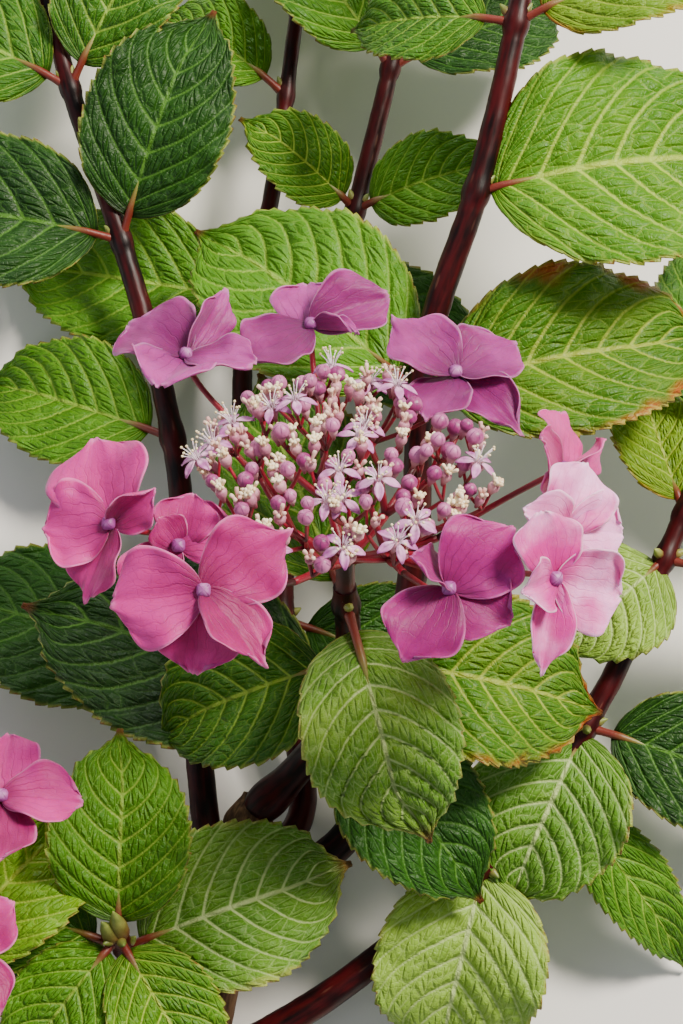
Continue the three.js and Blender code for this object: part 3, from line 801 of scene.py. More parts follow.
@dataclass(frozen=True)
class BladeFinish:
    """A living leaf blade: waxy green skin, satin, quilted between pale sunken veins and netted finely.

    Side veins stand about 9 mm apart and bend on towards the tip. Rungs about 3 mm apart join them, and the
    net between those has meshes of 1.3 mm, which is twice the real size, so that it shows.
    """

    name: str
    blade: str
    light: str
    vein: str
    edge: str
    edge_share: float = 0.02
    scorch_share: float = 0.07
    rim: str = "#a9b04a"
    burnt: str = "#7a3413"
    roughness: float = 0.5
    gloss: float = 0.3
    cloud_mm: float = 16.0
    net_mm: float = 1.3
    speck_mm: float = 1.6
    relief_mm: float = 0.8
    shine_range: float = 0.2
    own_shade: float = 0.7
    cloud_shade: float = 1.2
    side_vein_edge: Pair = (0.02, 0.1)
    midrib_edge: Pair = (0.012, 0.045)
    vein_strength: float = 0.8
    rung_strength: float = 0.26
    net_strength: float = 0.1
    edge_strength: float = 0.9
    rim_strength: float = 0.6
    speck_strength: float = 0.8
    scorch_strength: float = 0.9

    def make(self) -> Material:
        """Lays the nodes of the finish.

        Returns:
            Its material.
        """
        weave = Weave(self.name)
        add = weave.add
        blade = add("UVMap", uv_map="Blade")
        along, across = add("SeparateXYZ", (blade,)), add("SeparateXYZ", (blade,), out=1)
        chance = add("Attribute", out="Fac", attribute_name="Chance")
        out = add("Math", (across,), operation="ABSOLUTE")
        cloud = add("TexNoise", {"Vector": weave.spot, "Scale": per(self.cloud_mm), "Detail": 4.0})

        # The course counts the side veins from stalk to tip
        start = add("Math", (cloud, 0.03, along), **TIMES_PLUS)
        slope = add("Math", (out, VEINS.arch, VEINS.lean), **TIMES_PLUS)
        lean = add("Math", (out, slope, 0.015), **TIMES_PLUS)
        course = add("Math", (start, lean), operation="SUBTRACT")
        course = add("Math", (course, VEINS.count), **TIMES)
        from_vein = add("Math", (course, 0.5), operation="PINGPONG")
        thinning = add("Math", (out, -0.55, 1.0), **TIMES_PLUS)
        side_vein = add("MapRange", (from_vein, *self.side_vein_edge, thinning, 0.0), **SMOOTH)
        midrib = add("MapRange", (out, *self.midrib_edge, 1.0, 0.0), **SMOOTH)
        rung_place = add("CombineXYZ", (course, add("Math", (across, VEINS.rungs), **TIMES)))
        rungs = add("TexVoronoi", {"Vector": rung_place, "Scale": CELL_CROWDING}, **FLAT_EDGES)
        net = add("TexVoronoi", {"Vector": weave.spot, "Scale": per(self.net_mm)}, **EDGES)
        net_vein = add("MapRange", (net, 0.0, 0.2, self.net_strength, 0.0), **SMOOTH)
        rung = add("MapRange", (rungs, 0.0, 0.07, self.rung_strength, 0.0), **SMOOTH)
        ribs = add("Math", (side_vein, midrib), operation="MAXIMUM")
        fine = add("Math", (rung, net_vein), operation="ADD")
        vein = add("Math", (ribs, fine), operation="MAXIMUM")

        # Each leaf has its own shade, in clouds, and colours from its edge and tip inwards
        patch = add("Math", (cloud, self.cloud_shade, -0.45), **TIMES_PLUS)
        mood = add("Math", (chance, self.own_shade, patch), **TIMES_PLUS)
        share = add("MapRange", (mood, 0.1, 1.0), **SMOOTH)
        shade = add("Mix", {0: share, 6: self.blade, 7: self.light}, **HUES)
        tip = add("MapRange", (along, 0.8, 1.0, -0.4, 0.1), **SMOOTH)
        fringe = add("Math", (cloud, 0.8, add("Math", (out, tip))), **TIMES_PLUS)
        inner, outer = 1.0 - self.edge_share, 1.14 - 0.4 * self.edge_share
        turned_share = add("MapRange", (fringe, inner, outer, 0.0, self.edge_strength), **SMOOTH)
        shade = add("Mix", {0: turned_share, 6: shade, 7: self.edge}, **HUES)
        rim = add("MapRange", (out, 0.95, 1.0, 0.0, self.rim_strength), **SMOOTH)
        shade = add("Mix", {0: rim, 6: shade, 7: self.rim}, **HUES)
        dots = add("TexNoise", {"Vector": weave.spot, "Scale": per(self.speck_mm), "Detail": 4.0})
        at_edge = add("MapRange", (out, 0.97, 1.0, 0.0, self.speck_strength), **SMOOTH)
        scorched = (along, 1.0 - self.scorch_share, 0.99, 0.0, self.scorch_strength)
        at_tip = add("MapRange", scorched, **SMOOTH)
        specks = add("MapRange", (dots, 0.5, 0.62, 0.0, at_edge), **SMOOTH)
        scorch = add("MapRange", (cloud, 0.4, 0.55, 0.0, at_tip), **SMOOTH)
        dry = add("Math", (specks, scorch), operation="MAXIMUM")
        shade = add("Mix", {0: dry, 6: shade, 7: self.burnt}, **HUES)
        strength = add("Math", (vein, self.vein_strength), **TIMES)
        shade = add("Mix", {0: strength, 6: shade, 7: self.vein}, **HUES)

        # The skin sinks along veins and rungs
        beside_vein = add("MapRange", (from_vein, 0.0, 0.3, 0.0, 1.0), **SMOOTH)
        beside_rung = add("MapRange", (rungs, 0.0, 0.3, 0.3, 1.0), **SMOOTH)
        pillow = add("Math", (beside_vein, beside_rung), operation="MINIMUM")
        height = add("Math", (net_vein, -1.5, pillow), **TIMES_PLUS)
        glossiest = self.roughness - self.shine_range / 2
        shine = add("Math", (cloud, self.shine_range, glossiest), **TIMES_PLUS)
        return weave.finish(
            self.relief_mm, height, Base_Color=shade, Roughness=shine, Specular_IOR_Level=self.gloss
        )


@dataclass(frozen=True)
class SepalFinish:
    """A thin petal-like sepal: soft satin skin that glows a little, with faint fanned veins and a pale rim.

    The veins fan from the claw, four to a side, and fork into a net about 2 mm wide.
    """

    name: str
    body: str
    light: str
    claw: str
    vein: str
    rim: str
    cloud_mm: float = 7.0
    crepe_mm: float = 1.4
    relief_mm: float = 0.22
    roughness: float = 0.52
    gloss: float = 0.3
    glow: float = 0.2
    glow_mm: float = 1.5
    bloom: float = 0.1
    veins: float = 4.0
    vein_sway: float = 0.5
    vein_strengths: Pair = (0.5, 0.1)
    meshes: Pair = (6.0, 9.0)
    net_strength: float = 0.14
    own_shade: float = 0.55
    claw_strength: float = 0.6
    rim_strength: float = 0.45

    def make(self) -> Material:
        """Lays the nodes of the finish.

        Returns:
            Its material.
        """
        weave = Weave(self.name)
        add = weave.add
        blade = add("UVMap", uv_map="Blade")
        along, across = add("SeparateXYZ", (blade,)), add("SeparateXYZ", (blade,), out=1)
        chance = add("Attribute", out="Fac", attribute_name="Chance")
        cloud = add("TexNoise", {"Vector": weave.spot, "Scale": per(self.cloud_mm), "Detail": 5.0})
        crepe = add("TexNoise", {"Vector": weave.spot, "Scale": per(self.crepe_mm), "Detail": 3.0})

        fan = add("Math", (cloud, self.vein_sway, across), **TIMES_PLUS)
        from_vein = add("Math", (add("Math", (fan, self.veins), **TIMES), 0.5), operation="PINGPONG")
        fading = add("MapRange", (along, 0.1, 0.9, *self.vein_strengths), **SMOOTH)
        fan_vein = add("MapRange", (from_vein, 0.0, 0.1, fading, 0.0), **SMOOTH)
        net_along = add("Math", (along, self.meshes[0]), **TIMES)
        net_place = add("CombineXYZ", (net_along, add("Math", (fan, self.meshes[1]), **TIMES)))
        net = add("TexVoronoi", {"Vector": net_place, "Scale": CELL_CROWDING}, **FLAT_EDGES)
        net_vein = add("MapRange", (net, 0.0, 0.08, self.net_strength, 0.0), **SMOOTH)
        vein = add("Math", (fan_vein, net_vein), operation="MAXIMUM")

        own = add("Math", (chance, self.own_shade, -0.5), **TIMES_PLUS)
        paling = add("Math", (along, 0.4, own), **TIMES_PLUS)
        mood = add("Math", (cloud, 1.0, paling), **TIMES_PLUS)
        share = add("MapRange", (mood, 0.1, 0.9), **SMOOTH)
        shade = add("Mix", {0: share, 6: self.body, 7: self.light}, **HUES)
        throat = add("Math", (crepe, 0.12, along), **TIMES_PLUS)
        depth = add("MapRange", (throat, 0.09, 0.4, self.claw_strength, 0.0), **SMOOTH)
        shade = add("Mix", {0: depth, 6: shade, 7: self.claw}, **HUES)
        shade = add("Mix", {0: vein, 6: shade, 7: self.vein}, **HUES)
        out = add("Math", (add("Math", (across,), operation="ABSOLUTE"), along), operation="MAXIMUM")
        rim = add("MapRange", (out, 0.92, 1.0, 0.0, self.rim_strength), **SMOOTH)
        shade = add("Mix", {0: rim, 6: shade, 7: self.rim}, **HUES)
        height = add("Math", (crepe, 0.5), **TIMES)
        height = add("Math", (height, vein), operation="SUBTRACT")
        return weave.finish(
            self.relief_mm,
            height,
            Base_Color=shade,
            Roughness=self.roughness,
            Specular_IOR_Level=self.gloss,
            Subsurface_Weight=self.glow,
            Subsurface_Scale=self.glow_mm * MM,
            Sheen_Weight=self.bloom,
        )


@dataclass(frozen=True)
class TissueFinish:
    """Soft plant tissue whose two shades run into each other in clouds.

    It may have another colour at the root of each shape, and thin seams that meet at its top.
    """

    name: str
    dark: str
    light: str
    root: str | None = None
    root_start: float = 0.0
    root_share: float = 0.6
    seam: str | None = None
    seams: float = 5.0
    seam_edge: Pair = (0.02, 0.12)
    seam_strength: float = 0.75
    cloud_mm: float = 6.0
    grain_mm: float = 0.5
    relief_mm: float = 0.1
    roughness: float = 0.5
    own_shade: float = 0.4

    def make(self) -> Material:
        """Lays the nodes of the finish.

        Returns:
            Its material.
        """
        weave = Weave(self.name)
        add = weave.add
        mood = add("TexNoise", {"Vector": weave.spot, "Scale": per(self.cloud_mm), "Detail": 4.0})
        if self.own_shade:
            chance = add("Attribute", out="Fac", attribute_name="Chance")
            own = add("Math", (chance, self.own_shade, -self.own_shade / 2), **TIMES_PLUS)
            mood = add("Math", (mood, own))
        share = add("MapRange", (mood, 0.3, 0.7), **SMOOTH)
        shade = add("Mix", {0: share, 6: self.dark, 7: self.light}, **HUES)
        if self.root or self.seam:
            blade = add("UVMap", uv_map="Blade")
            along, across = add("SeparateXYZ", (blade,)), add("SeparateXYZ", (blade,), out=1)
        if self.root:
            low = add("MapRange", (along, self.root_start, self.root_share, 1.0, 0.0), **SMOOTH)
            shade = add("Mix", {0: low, 6: shade, 7: self.root}, **HUES)
        if self.seam:
            turns = add("Math", (across, self.seams, 0.5), **TIMES_PLUS)
            from_seam = add("Math", (turns, 0.5), operation="PINGPONG")
            high = add("MapRange", (along, 0.5, 0.7, 0.0, self.seam_strength), **SMOOTH)
            line = add("MapRange", (from_seam, *self.seam_edge, high, 0.0), **SMOOTH)
            shade = add("Mix", {0: line, 6: shade, 7: self.seam}, **HUES)
        grain = add("TexNoise", {"Vector": weave.spot, "Scale": per(self.grain_mm), "Detail": 3.0})
        return weave.finish(self.relief_mm, grain, Base_Color=shade, Roughness=self.roughness)


@dataclass(frozen=True)
class BarkFinish:
    """Bark that runs along its stem: two shades in long streaks, with pale corky pores.

    It reads the unbent place of each point, so that streaks and pores follow every bend.
    """

    name: str
    dark: str
    light: str
    pore: str
    streak_mm: float = 1.6
    pore_mm: float = 2.4
    pore_edge: Pair = (0.08, 0.18)
    pore_share: float = 0.5
    fewest_pores: float = 0.2
    cloud_mm: float = 14.0
    relief_mm: float = 0.15
    roughness: float = 0.42
    shine_range: float = 0.24
    gloss: float = 0.22

    def make(self) -> Material:
        """Lays the nodes of the finish.

        Returns:
            Its material.
        """
        weave = Weave(self.name)
        add = weave.add
        grain = add("Attribute", out="Vector", attribute_name="Grain")
        streak = add("TexNoise", {"Vector": grain, "Scale": per(self.streak_mm), "Detail": 5.0})
        cloud = add("TexNoise", {"Vector": weave.spot, "Scale": per(self.cloud_mm), "Detail": 3.0})
        half = add("Math", (cloud, 0.5), **TIMES)
        mood = add("Math", (streak, 0.5, half), **TIMES_PLUS)
        share = add("MapRange", (mood, 0.38, 0.62), **SMOOTH)
        shade = add("Mix", {0: share, 6: self.dark, 7: self.light}, **HUES)
        pores = add("TexVoronoi", {"Vector": grain, "Scale": per(self.pore_mm)})
        here = add("MapRange", (cloud, 0.4, 0.6, self.fewest_pores, self.pore_share), **SMOOTH)
        spots = add("MapRange", (pores, *self.pore_edge, here, 0.0), **SMOOTH)
        shade = add("Mix", {0: spots, 6: shade, 7: self.pore}, **HUES)
        height = add("Math", (spots, 0.8, streak), **TIMES_PLUS)
        glossiest = self.roughness - self.shine_range / 2
        shine = add("Math", (streak, self.shine_range, glossiest), **TIMES_PLUS)
        return weave.finish(
            self.relief_mm, height, Base_Color=shade, Roughness=shine, Specular_IOR_Level=self.gloss
        )


# Waxy leaf skin catches the light softly. Young leaves are yellow-green, older ones deeper, and in autumn
# some turn orange from the edge. Pale sunlit leaves carry painted sunlight, and shade leaves painted shade
BLADE_FINISHES = {
    Tint.FRESH: BladeFinish("fresh_leaf_blade", "#3c7200", "#6a9c00", "#a8c040", "#7e9406"),
    # Painted sunlight: a paler green for leaves turned up to the sun
    Tint.PALE: BladeFinish(
        "pale_sunlit_leaf_blade", "#4a7c0e", "#86ac36", "#bace86", "#8a9c38", scorch_share=0.14
    ),
    Tint.MATURE: BladeFinish("mature_leaf_blade", "#265a00", "#4c8402", "#8cac3a", "#5e7e06"),
    # Painted shade: a darker green for leaves that stand in shade
    Tint.SHADE: BladeFinish("shaded_leaf_blade", "#0e3400", "#205002", "#4c7a22", "#284c06"),
    Tint.TURNING: BladeFinish("turning_leaf_blade", "#346600", "#668a00", "#9cac3a", "#9a3804", 0.17),
}
# The underside has no wax, so it looks dull and greyish
UNDERSIDE_FINISH = BladeFinish("leaf_underside", "#7f9f5c", "#9cb878", "#c0d09c", "#8ca562", roughness=0.7)
# Leaf stalks are smooth and juicy, which reads as a soft shine: red at the stem and green towards the blade
PETIOLE_FINISH = TissueFinish(
    "leaf_stalk", "#7c8c38", "#a0ae5c", root="#6c2214", root_start=0.4, root_share=1.05, cloud_mm=14,
    roughness=0.45,
)
# The midrib stands out below the blade, pale and firm
MIDRIB_FINISH = TissueFinish("leaf_midrib", "#a5ba6e", "#bccb8a", root="#a5985c", cloud_mm=10)
# Bud scales are leathery, olive with a red foot
LEAF_BUD_FINISH = TissueFinish(
    "leaf_bud", "#64782c", "#93a04a", root="#6e2f22", root_share=0.9, cloud_mm=3, roughness=0.45
)
# This year's shoots have a tight satin skin, dark wine red with pale pores
YOUNG_BARK = BarkFinish("young_shoot_bark", "#0c0203", "#400408", "#6a4436")
# The cane is two years old, so its bark is dull and tan and splits lengthwise
OLD_BARK = BarkFinish(
    "old_cane_bark", "#3c2a1c", "#7a5c42", "#a08468", streak_mm=1.1, pore_share=0.8, relief_mm=0.5,
    roughness=0.8,
)
# Fresh cut wood is matt and cream
CUT_WOOD = TissueFinish("fresh_cut_wood", "#c9b98c", "#ded2a9", cloud_mm=2, roughness=0.7, own_shade=0)
# Pith is a soft white sponge, so nothing shines
PITH = TissueFinish("cane_pith", "#e6dfc8", "#f3eedd", cloud_mm=1, roughness=0.9, own_shade=0)
# Sepals are thin and velvety, so light spreads in them. Rose is their own pink; pale sunlit adds painted
# sunlight, nearly white, and deep and mauve shaded add painted shade, mauve the bluer
SEPAL_FINISHES = {
    # Painted shade: a darker pink
    Tone.DEEP: SepalFinish("deep_shaded_sepal", "#7a025a", "#ac1c82", "#5e003e", "#5c0440", "#d06eb2"),
    # Painted shade: a darker, bluer pink
    Tone.MAUVE: SepalFinish("mauve_shaded_sepal", "#720a5a", "#ac3c92", "#500442", "#520646", "#d892c6"),
    Tone.ROSE: SepalFinish("rose_sepal", "#8a0056", "#c62c8a", "#66003e", "#6a0444", "#e88cc4"),
    # Painted sunlight: pink washed nearly white
    Tone.PALE: SepalFinish("pale_sunlit_sepal", "#cc2492", "#ffb0e6", "#a40a6c", "#a8247e", "#ffdef6"),
}
# The closed flower in the middle of a floret is a mauve bead of four petals
EYE_FINISH = TissueFinish(
    "floret_eye", "#94428c", "#bc7cb4", seam="#6e2462", seams=4, cloud_mm=2, roughness=0.45
)
# The rays are thin, smooth and crimson
RAY_FINISH = TissueFinish(
    "flower_head_ray", "#6c041c", "#a00c2e", root="#3a0812", root_share=0.5, cloud_mm=8, roughness=0.42
)
# The neck carries on the dark shoot without its pores
NECK_FINISH = TissueFinish("flower_head_neck", "#2d0b0d", "#541719", cloud_mm=6, roughness=0.42)
# Closed buds are firm satin beads, mauve pink with darker seams
BUD_FINISH = TissueFinish("closed_bud", "#8e306e", "#c274a4", seam="#5e2458", cloud_mm=3.5, roughness=0.42)
# The small petals are soft and lilac, paler at the foot
PETAL_FINISH = TissueFinish("small_flower_petal", "#a6509a", "#d08cc2", root="#e2b4d6", cloud_mm=2.5)
# Filaments are thin threads, almost white
STAMEN_FINISH = TissueFinish("stamen_filament", "#ead6e6", "#fbf3f8", cloud_mm=3)
# Ripe pollen is a dry powder, matt and straw yellow
ANTHER_FINISH = TissueFinish("pollen_anther", "#e8d49a", "#f7ecc4", cloud_mm=1, roughness=0.8)
# The cup below each small flower is fleshy and dusky pink, crimson at its foot
CUP_FINISH = TissueFinish(
    "small_flower_cup", "#b06a86", "#d09aa4", root="#8a1c38", root_share=0.7, cloud_mm=3
)
# The prongs left on spent flowers are drying, so they look dull and cream pink
STYLE_FINISH = TissueFinish(
    "spent_flower_style", "#d9a8a0", "#eccfba", root="#b87488", root_share=0.5, cloud_mm=1.5, roughness=0.6
)
# The crown of an opening flower is a cluster of young anthers, creamy and dull
CROWN_FINISH = TissueFinish(
    "opening_flower_crown", "#ecd3a8", "#faf0d2", "#d8a8a8", root_share=0.45, cloud_mm=1.5, roughness=0.65
)
# Painted board: even, pale and matt
FLOOR_FINISH = TissueFinish(
    "pale_floor", "#e6e5e1", "#eae9e5", cloud_mm=300, relief_mm=0.02, roughness=0.85, own_shade=0
)


# The pieces


def dress(piece: Piece, nodes: Sequence[str] = ()) -> None:
    """Ties a finished piece to the frame and reports it.

    Args:
        piece: The piece.
        nodes: The frame's nodes that it stands for.
    """
    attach(piece, BODY)
    if nodes:
        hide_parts(*nodes)
    stands_for = ", ".join(nodes) or "none"
    LOG.info("%s: %d faces, stands for %s", piece.name, len(piece.data.polygons), stands_for)


@dataclass
class Wood:
    """The cane and its shoots, with bark relief, swollen nodes and leaf scars."""

    origin: Array
    ring_mm: float = 1.2
    roundness: int = 6
    node_mm: float = 3.2
    node_swell: float = 0.26
    scar_mm: float = 1.1
    scar_depth: float = 0.1
    relief_mm: float = 0.35
    relief_grain_mm: float = 4.0
    streak_stretch: float = 6.0
    heel: float = 0.5
    heel_mm: float = 4.0
    collar: float = 0.22
    collar_mm: Pair = (9.0, 6.0)
    end_facing: float = -0.95
    wood_mm: Pair = (0.9, 3.6)
    fewest_rings: int = 12
    merged_m: float = 1e-6
    crease: float = 50.0

    def profile(self, name: str, line: Line) -> tuple[Array, Array]:
        """Works out how thick a stem is along its length: it swells at its nodes and where it forks.

        Args:
            name: The stem.
            line: Its middle.

        Returns:
            The shares of its length and the radius at each, in millimetres.
        """
        stem = STEMS[name]
        shares = np.linspace(0, 1, max(self.fewest_rings, round(line.length / self.ring_mm)))
        radius = np.interp(shares, [0, 1], stem.radius)
        from_fork = line.length * (1 - shares if name == "cane" else shares)
        middle, spread = self.collar_mm
        collar = self.collar * np.exp(-(((from_fork - middle) / spread) ** 2))
        heel = self.heel * np.exp(-((from_fork / self.heel_mm) ** 2))
        radius = radius * (1 + collar - heel)
        leaves = [*SINGLE_LEAVES.get(name, []), *SPRAY_LEAVES.get(name, [])]
        for at in sorted({leaf.at for leaf in leaves}):
            away = (shares - at) * line.length
            radius = radius + stem.radius[1] * self.node_swell * np.exp(-((away / self.node_mm) ** 2))
            below = (away + self.node_mm) / self.scar_mm
            radius = radius - stem.radius[1] * self.scar_depth * np.exp(-(below**2))
        return shares, radius

    def build_stem(self, name: str, materials: Sequence[Material]) -> Piece:
        """Bends a round limb along its line and gives it relief.

        Args:
            name: The stem.
            materials: Bark, and for the cane cut wood and pith.

        Returns:
            The piece.
        """
        line = smooth_line(STEMS[name].through)
        shares, radius = self.profile(name, line)
        bpy.ops.object.select_all(action="DESELECT")
        bpy.ops.curve.primitive_bezier_curve_add()
        limb = bpy.context.active_object
        limb.name = f"bark_{name}"
        curve = limb.data
        curve.splines.clear()
        spline = curve.splines.new("POLY")
        spline.points.add(len(shares) - 1)
        places = np.column_stack([(line.at(shares) + self.origin) * MM, np.ones(len(shares))])
        spline.points.foreach_set("co", places.ravel())
        spline.points.foreach_set("radius", radius)
        curve.bevel_depth = MM
        curve.bevel_resolution = self.roundness
        curve.use_fill_caps = True
        bpy.ops.object.convert(target="MESH")
        limb = bpy.context.active_object
        bpy.ops.object.mode_set(mode="EDIT")
        bpy.ops.mesh.select_all(action="SELECT")
        bpy.ops.mesh.remove_doubles(threshold=self.merged_m)
        bpy.ops.mesh.normals_make_consistent(inside=False)
        bpy.ops.object.mode_set(mode="OBJECT")
        limb.data.materials.clear()
        for material in materials:
            limb.data.materials.append(material)
        return limb

    def roughen(self, limb: Piece) -> None:
        """Gives the bark low uneven relief.

        Args:
            limb: The piece.
        """
        texture = bpy.data.textures.new("bark_relief", "CLOUDS")
        texture.noise_scale = self.relief_grain_mm * MM
        depth = self.relief_mm * MM
        finish_with(limb, "DISPLACE", texture=texture, texture_coords="GLOBAL", strength=depth)

    def unbend(self, limb: Piece, line: Line) -> None:
        """Keeps points off the floor, and stores where each would lie on a straight stem, for the grain.

        Args:
            limb: The piece.
            line: Its middle.
        """
        mesh = limb.data
        points = np.empty(3 * len(mesh.vertices))
        mesh.vertices.foreach_get("co", points)
        points = points.reshape(-1, 3)
        points[:, 2] = np.maximum(points[:, 2], 0)
        mesh.vertices.foreach_set("co", points.ravel())
        shares = np.linspace(0, 1, round(line.length))
        middles = line.at(shares) + self.origin
        gaps = points[:, None] / MM - middles[None]
        station = np.argmin((gaps**2).sum(axis=2), axis=1)
        off = gaps[np.arange(len(points)), station]
        ahead = line.ahead(shares)[station]
        side = unit(np.cross(ahead, RIGHT))
        over = np.cross(ahead, side)
        along = shares[station] * line.length + (off * ahead).sum(axis=1)
        across, above = (off * side).sum(axis=1), (off * over).sum(axis=1)
        place = np.column_stack([across, above, along / self.streak_stretch])
        grain = mesh.attributes.new(name="Grain", type="FLOAT_VECTOR", domain="POINT")
        grain.data.foreach_set("vector", (place * MM).ravel())

    def cut(self, limb: Piece) -> None:
        """Shows rings of cut wood and pith on the flat end of the cane.

        Args:
            limb: The cane.
        """
        select_only(limb)
        bpy.ops.object.mode_set(mode="EDIT")
        bpy.ops.mesh.select_mode(type="FACE")
        bpy.ops.mesh.select_all(action="DESELECT")
        bpy.ops.object.mode_set(mode="OBJECT")
        for face in limb.data.polygons:
            face.select = face.normal.y < self.end_facing
        bpy.ops.object.mode_set(mode="EDIT")
        bpy.ops.mesh.dissolve_faces()
        for slot, depth in enumerate(self.wood_mm, 1):
            bpy.ops.mesh.inset(thickness=depth * MM, depth=0)
            limb.active_material_index = slot
            bpy.ops.object.material_slot_assign()
        bpy.ops.mesh.select_mode(type="VERT")
        bpy.ops.object.mode_set(mode="OBJECT")

    def build(self) -> None:
        """Builds and dresses every stem."""
        young, old = YOUNG_BARK.make(), OLD_BARK.make()
        cut_wood, pith = CUT_WOOD.make(), PITH.make()
        for name in STEMS:
            is_cane = name == "cane"
            limb = self.build_stem(name, [old, cut_wood, pith] if is_cane else [young])
            self.roughen(limb)
            self.unbend(limb, smooth_line(STEMS[name].through))
            if is_cane:
                self.cut(limb)
            select_only(limb)
            bpy.ops.object.shade_smooth_by_angle(angle=math.radians(self.crease))
            node = name if is_cane else f"shoot_{name}"
            dress(limb, [node])


@dataclass(frozen=True)
class Quilt:
    """The relief of a blade: it swells between side veins, in rungs that sway, and sinks over the midrib."""

    swell_mm: float = 1.7
    swell_power: float = 0.7
    rung_mm: float = 0.35
    sway: float = 2.4
    sway_pace: float = 2.2
    flank: float = 6.0
    edge_loss: float = 0.75
    edge_power: int = 5
    ends: Pair = (0.02, 0.98)
    end_power: float = 0.4
    rise: Pair = (-0.1, 0.2)
    groove_mm: float = 0.8
    groove_width: float = 0.07

    def height(self, u: Array, v: Array, size: float) -> Array:
        """Works out the relief at points of a blade.

        Args:
            u: The share along the blade of each point.
            v: The place across it of each point.
            size: The size of the leaf against a usual one.

        Returns:
            How high each point rises, in millimetres.
        """
        out = np.abs(v)
        course = (u - VEINS.lean * out - VEINS.arch * out**2) * VEINS.count
        swell = np.abs(np.sin(math.pi * course)) ** self.swell_power
        ends = np.sin(math.pi * np.clip(u, *self.ends)) ** self.end_power
        inside = np.clip(out * self.flank, 0, 1) * (1 - self.edge_loss * out**self.edge_power)
        inside = inside * ends * ease(u, *self.rise)
        rung = np.sin(math.pi * VEINS.rungs * out + self.sway * np.sin(course * self.sway_pace)) * swell
        groove = np.exp(-((v / self.groove_width) ** 2)) * (1 - u)
        return size * inside * (self.swell_mm * swell + self.rung_mm * rung) - self.groove_mm * groove


@dataclass(frozen=True)
class Margin:
    """The edge of a blade: its teeth and frill, and where hems and hooks begin and lobes end along it."""

    tooth_mm: float = 3.3
    tooth_rows: int = 4
    tooth_depth_mm: float = 1.5
    tooth_out: float = 0.6
    tooth_ahead: float = 0.9
    full_tooth_mm: float = 6.0
    frill: Wave = Wave(0.035, 2, 13 * math.pi)
    frill_power: int = 5
    hem_from: float = 0.55
    lobe_power: float = 1.3
    lobe_share: float = 0.45
    lobe_drop: float = 0.35
    hook_from: float = 0.62

    def rows(self, length: float) -> int:
        """Returns how many rows of points the teeth of a blade take."""
        return self.tooth_rows * round(length / self.tooth_mm) + 1

    def teeth(self, half: Array) -> Array:
        """Returns how far the teeth stand out at each row, in millimetres, from half the width there."""
        saw = (np.arange(len(half)) % self.tooth_rows) / (self.tooth_rows - 1)
        return self.tooth_depth_mm * (saw - 0.5) * np.minimum(1, half / self.full_tooth_mm)


@dataclass(frozen=True)
class LeafBuds:
    """The buds above each leaf stalk and at the tip of each shoot: length and radius, shape and seat."""

    axil_mm: Pair = (4.2, 1.3)
    axil_shape: Numbers = (0.7, 1.0, 0.95, 0.6, 0.15)
    axil_lean: float = 1.2
    axil_from: float = 0.02
    axil_seat: float = 0.9
    tip_mm: Pair = (11.0, 2.6)
    tip_shape: Numbers = (0.8, 1.0, 0.8, 0.45, 0.1)
    tip_reach: Pair = (0.9, 0.1)
    tip_sink_mm: float = 1.5
    tip_apart_mm: Pair = (0.9, 1.8)


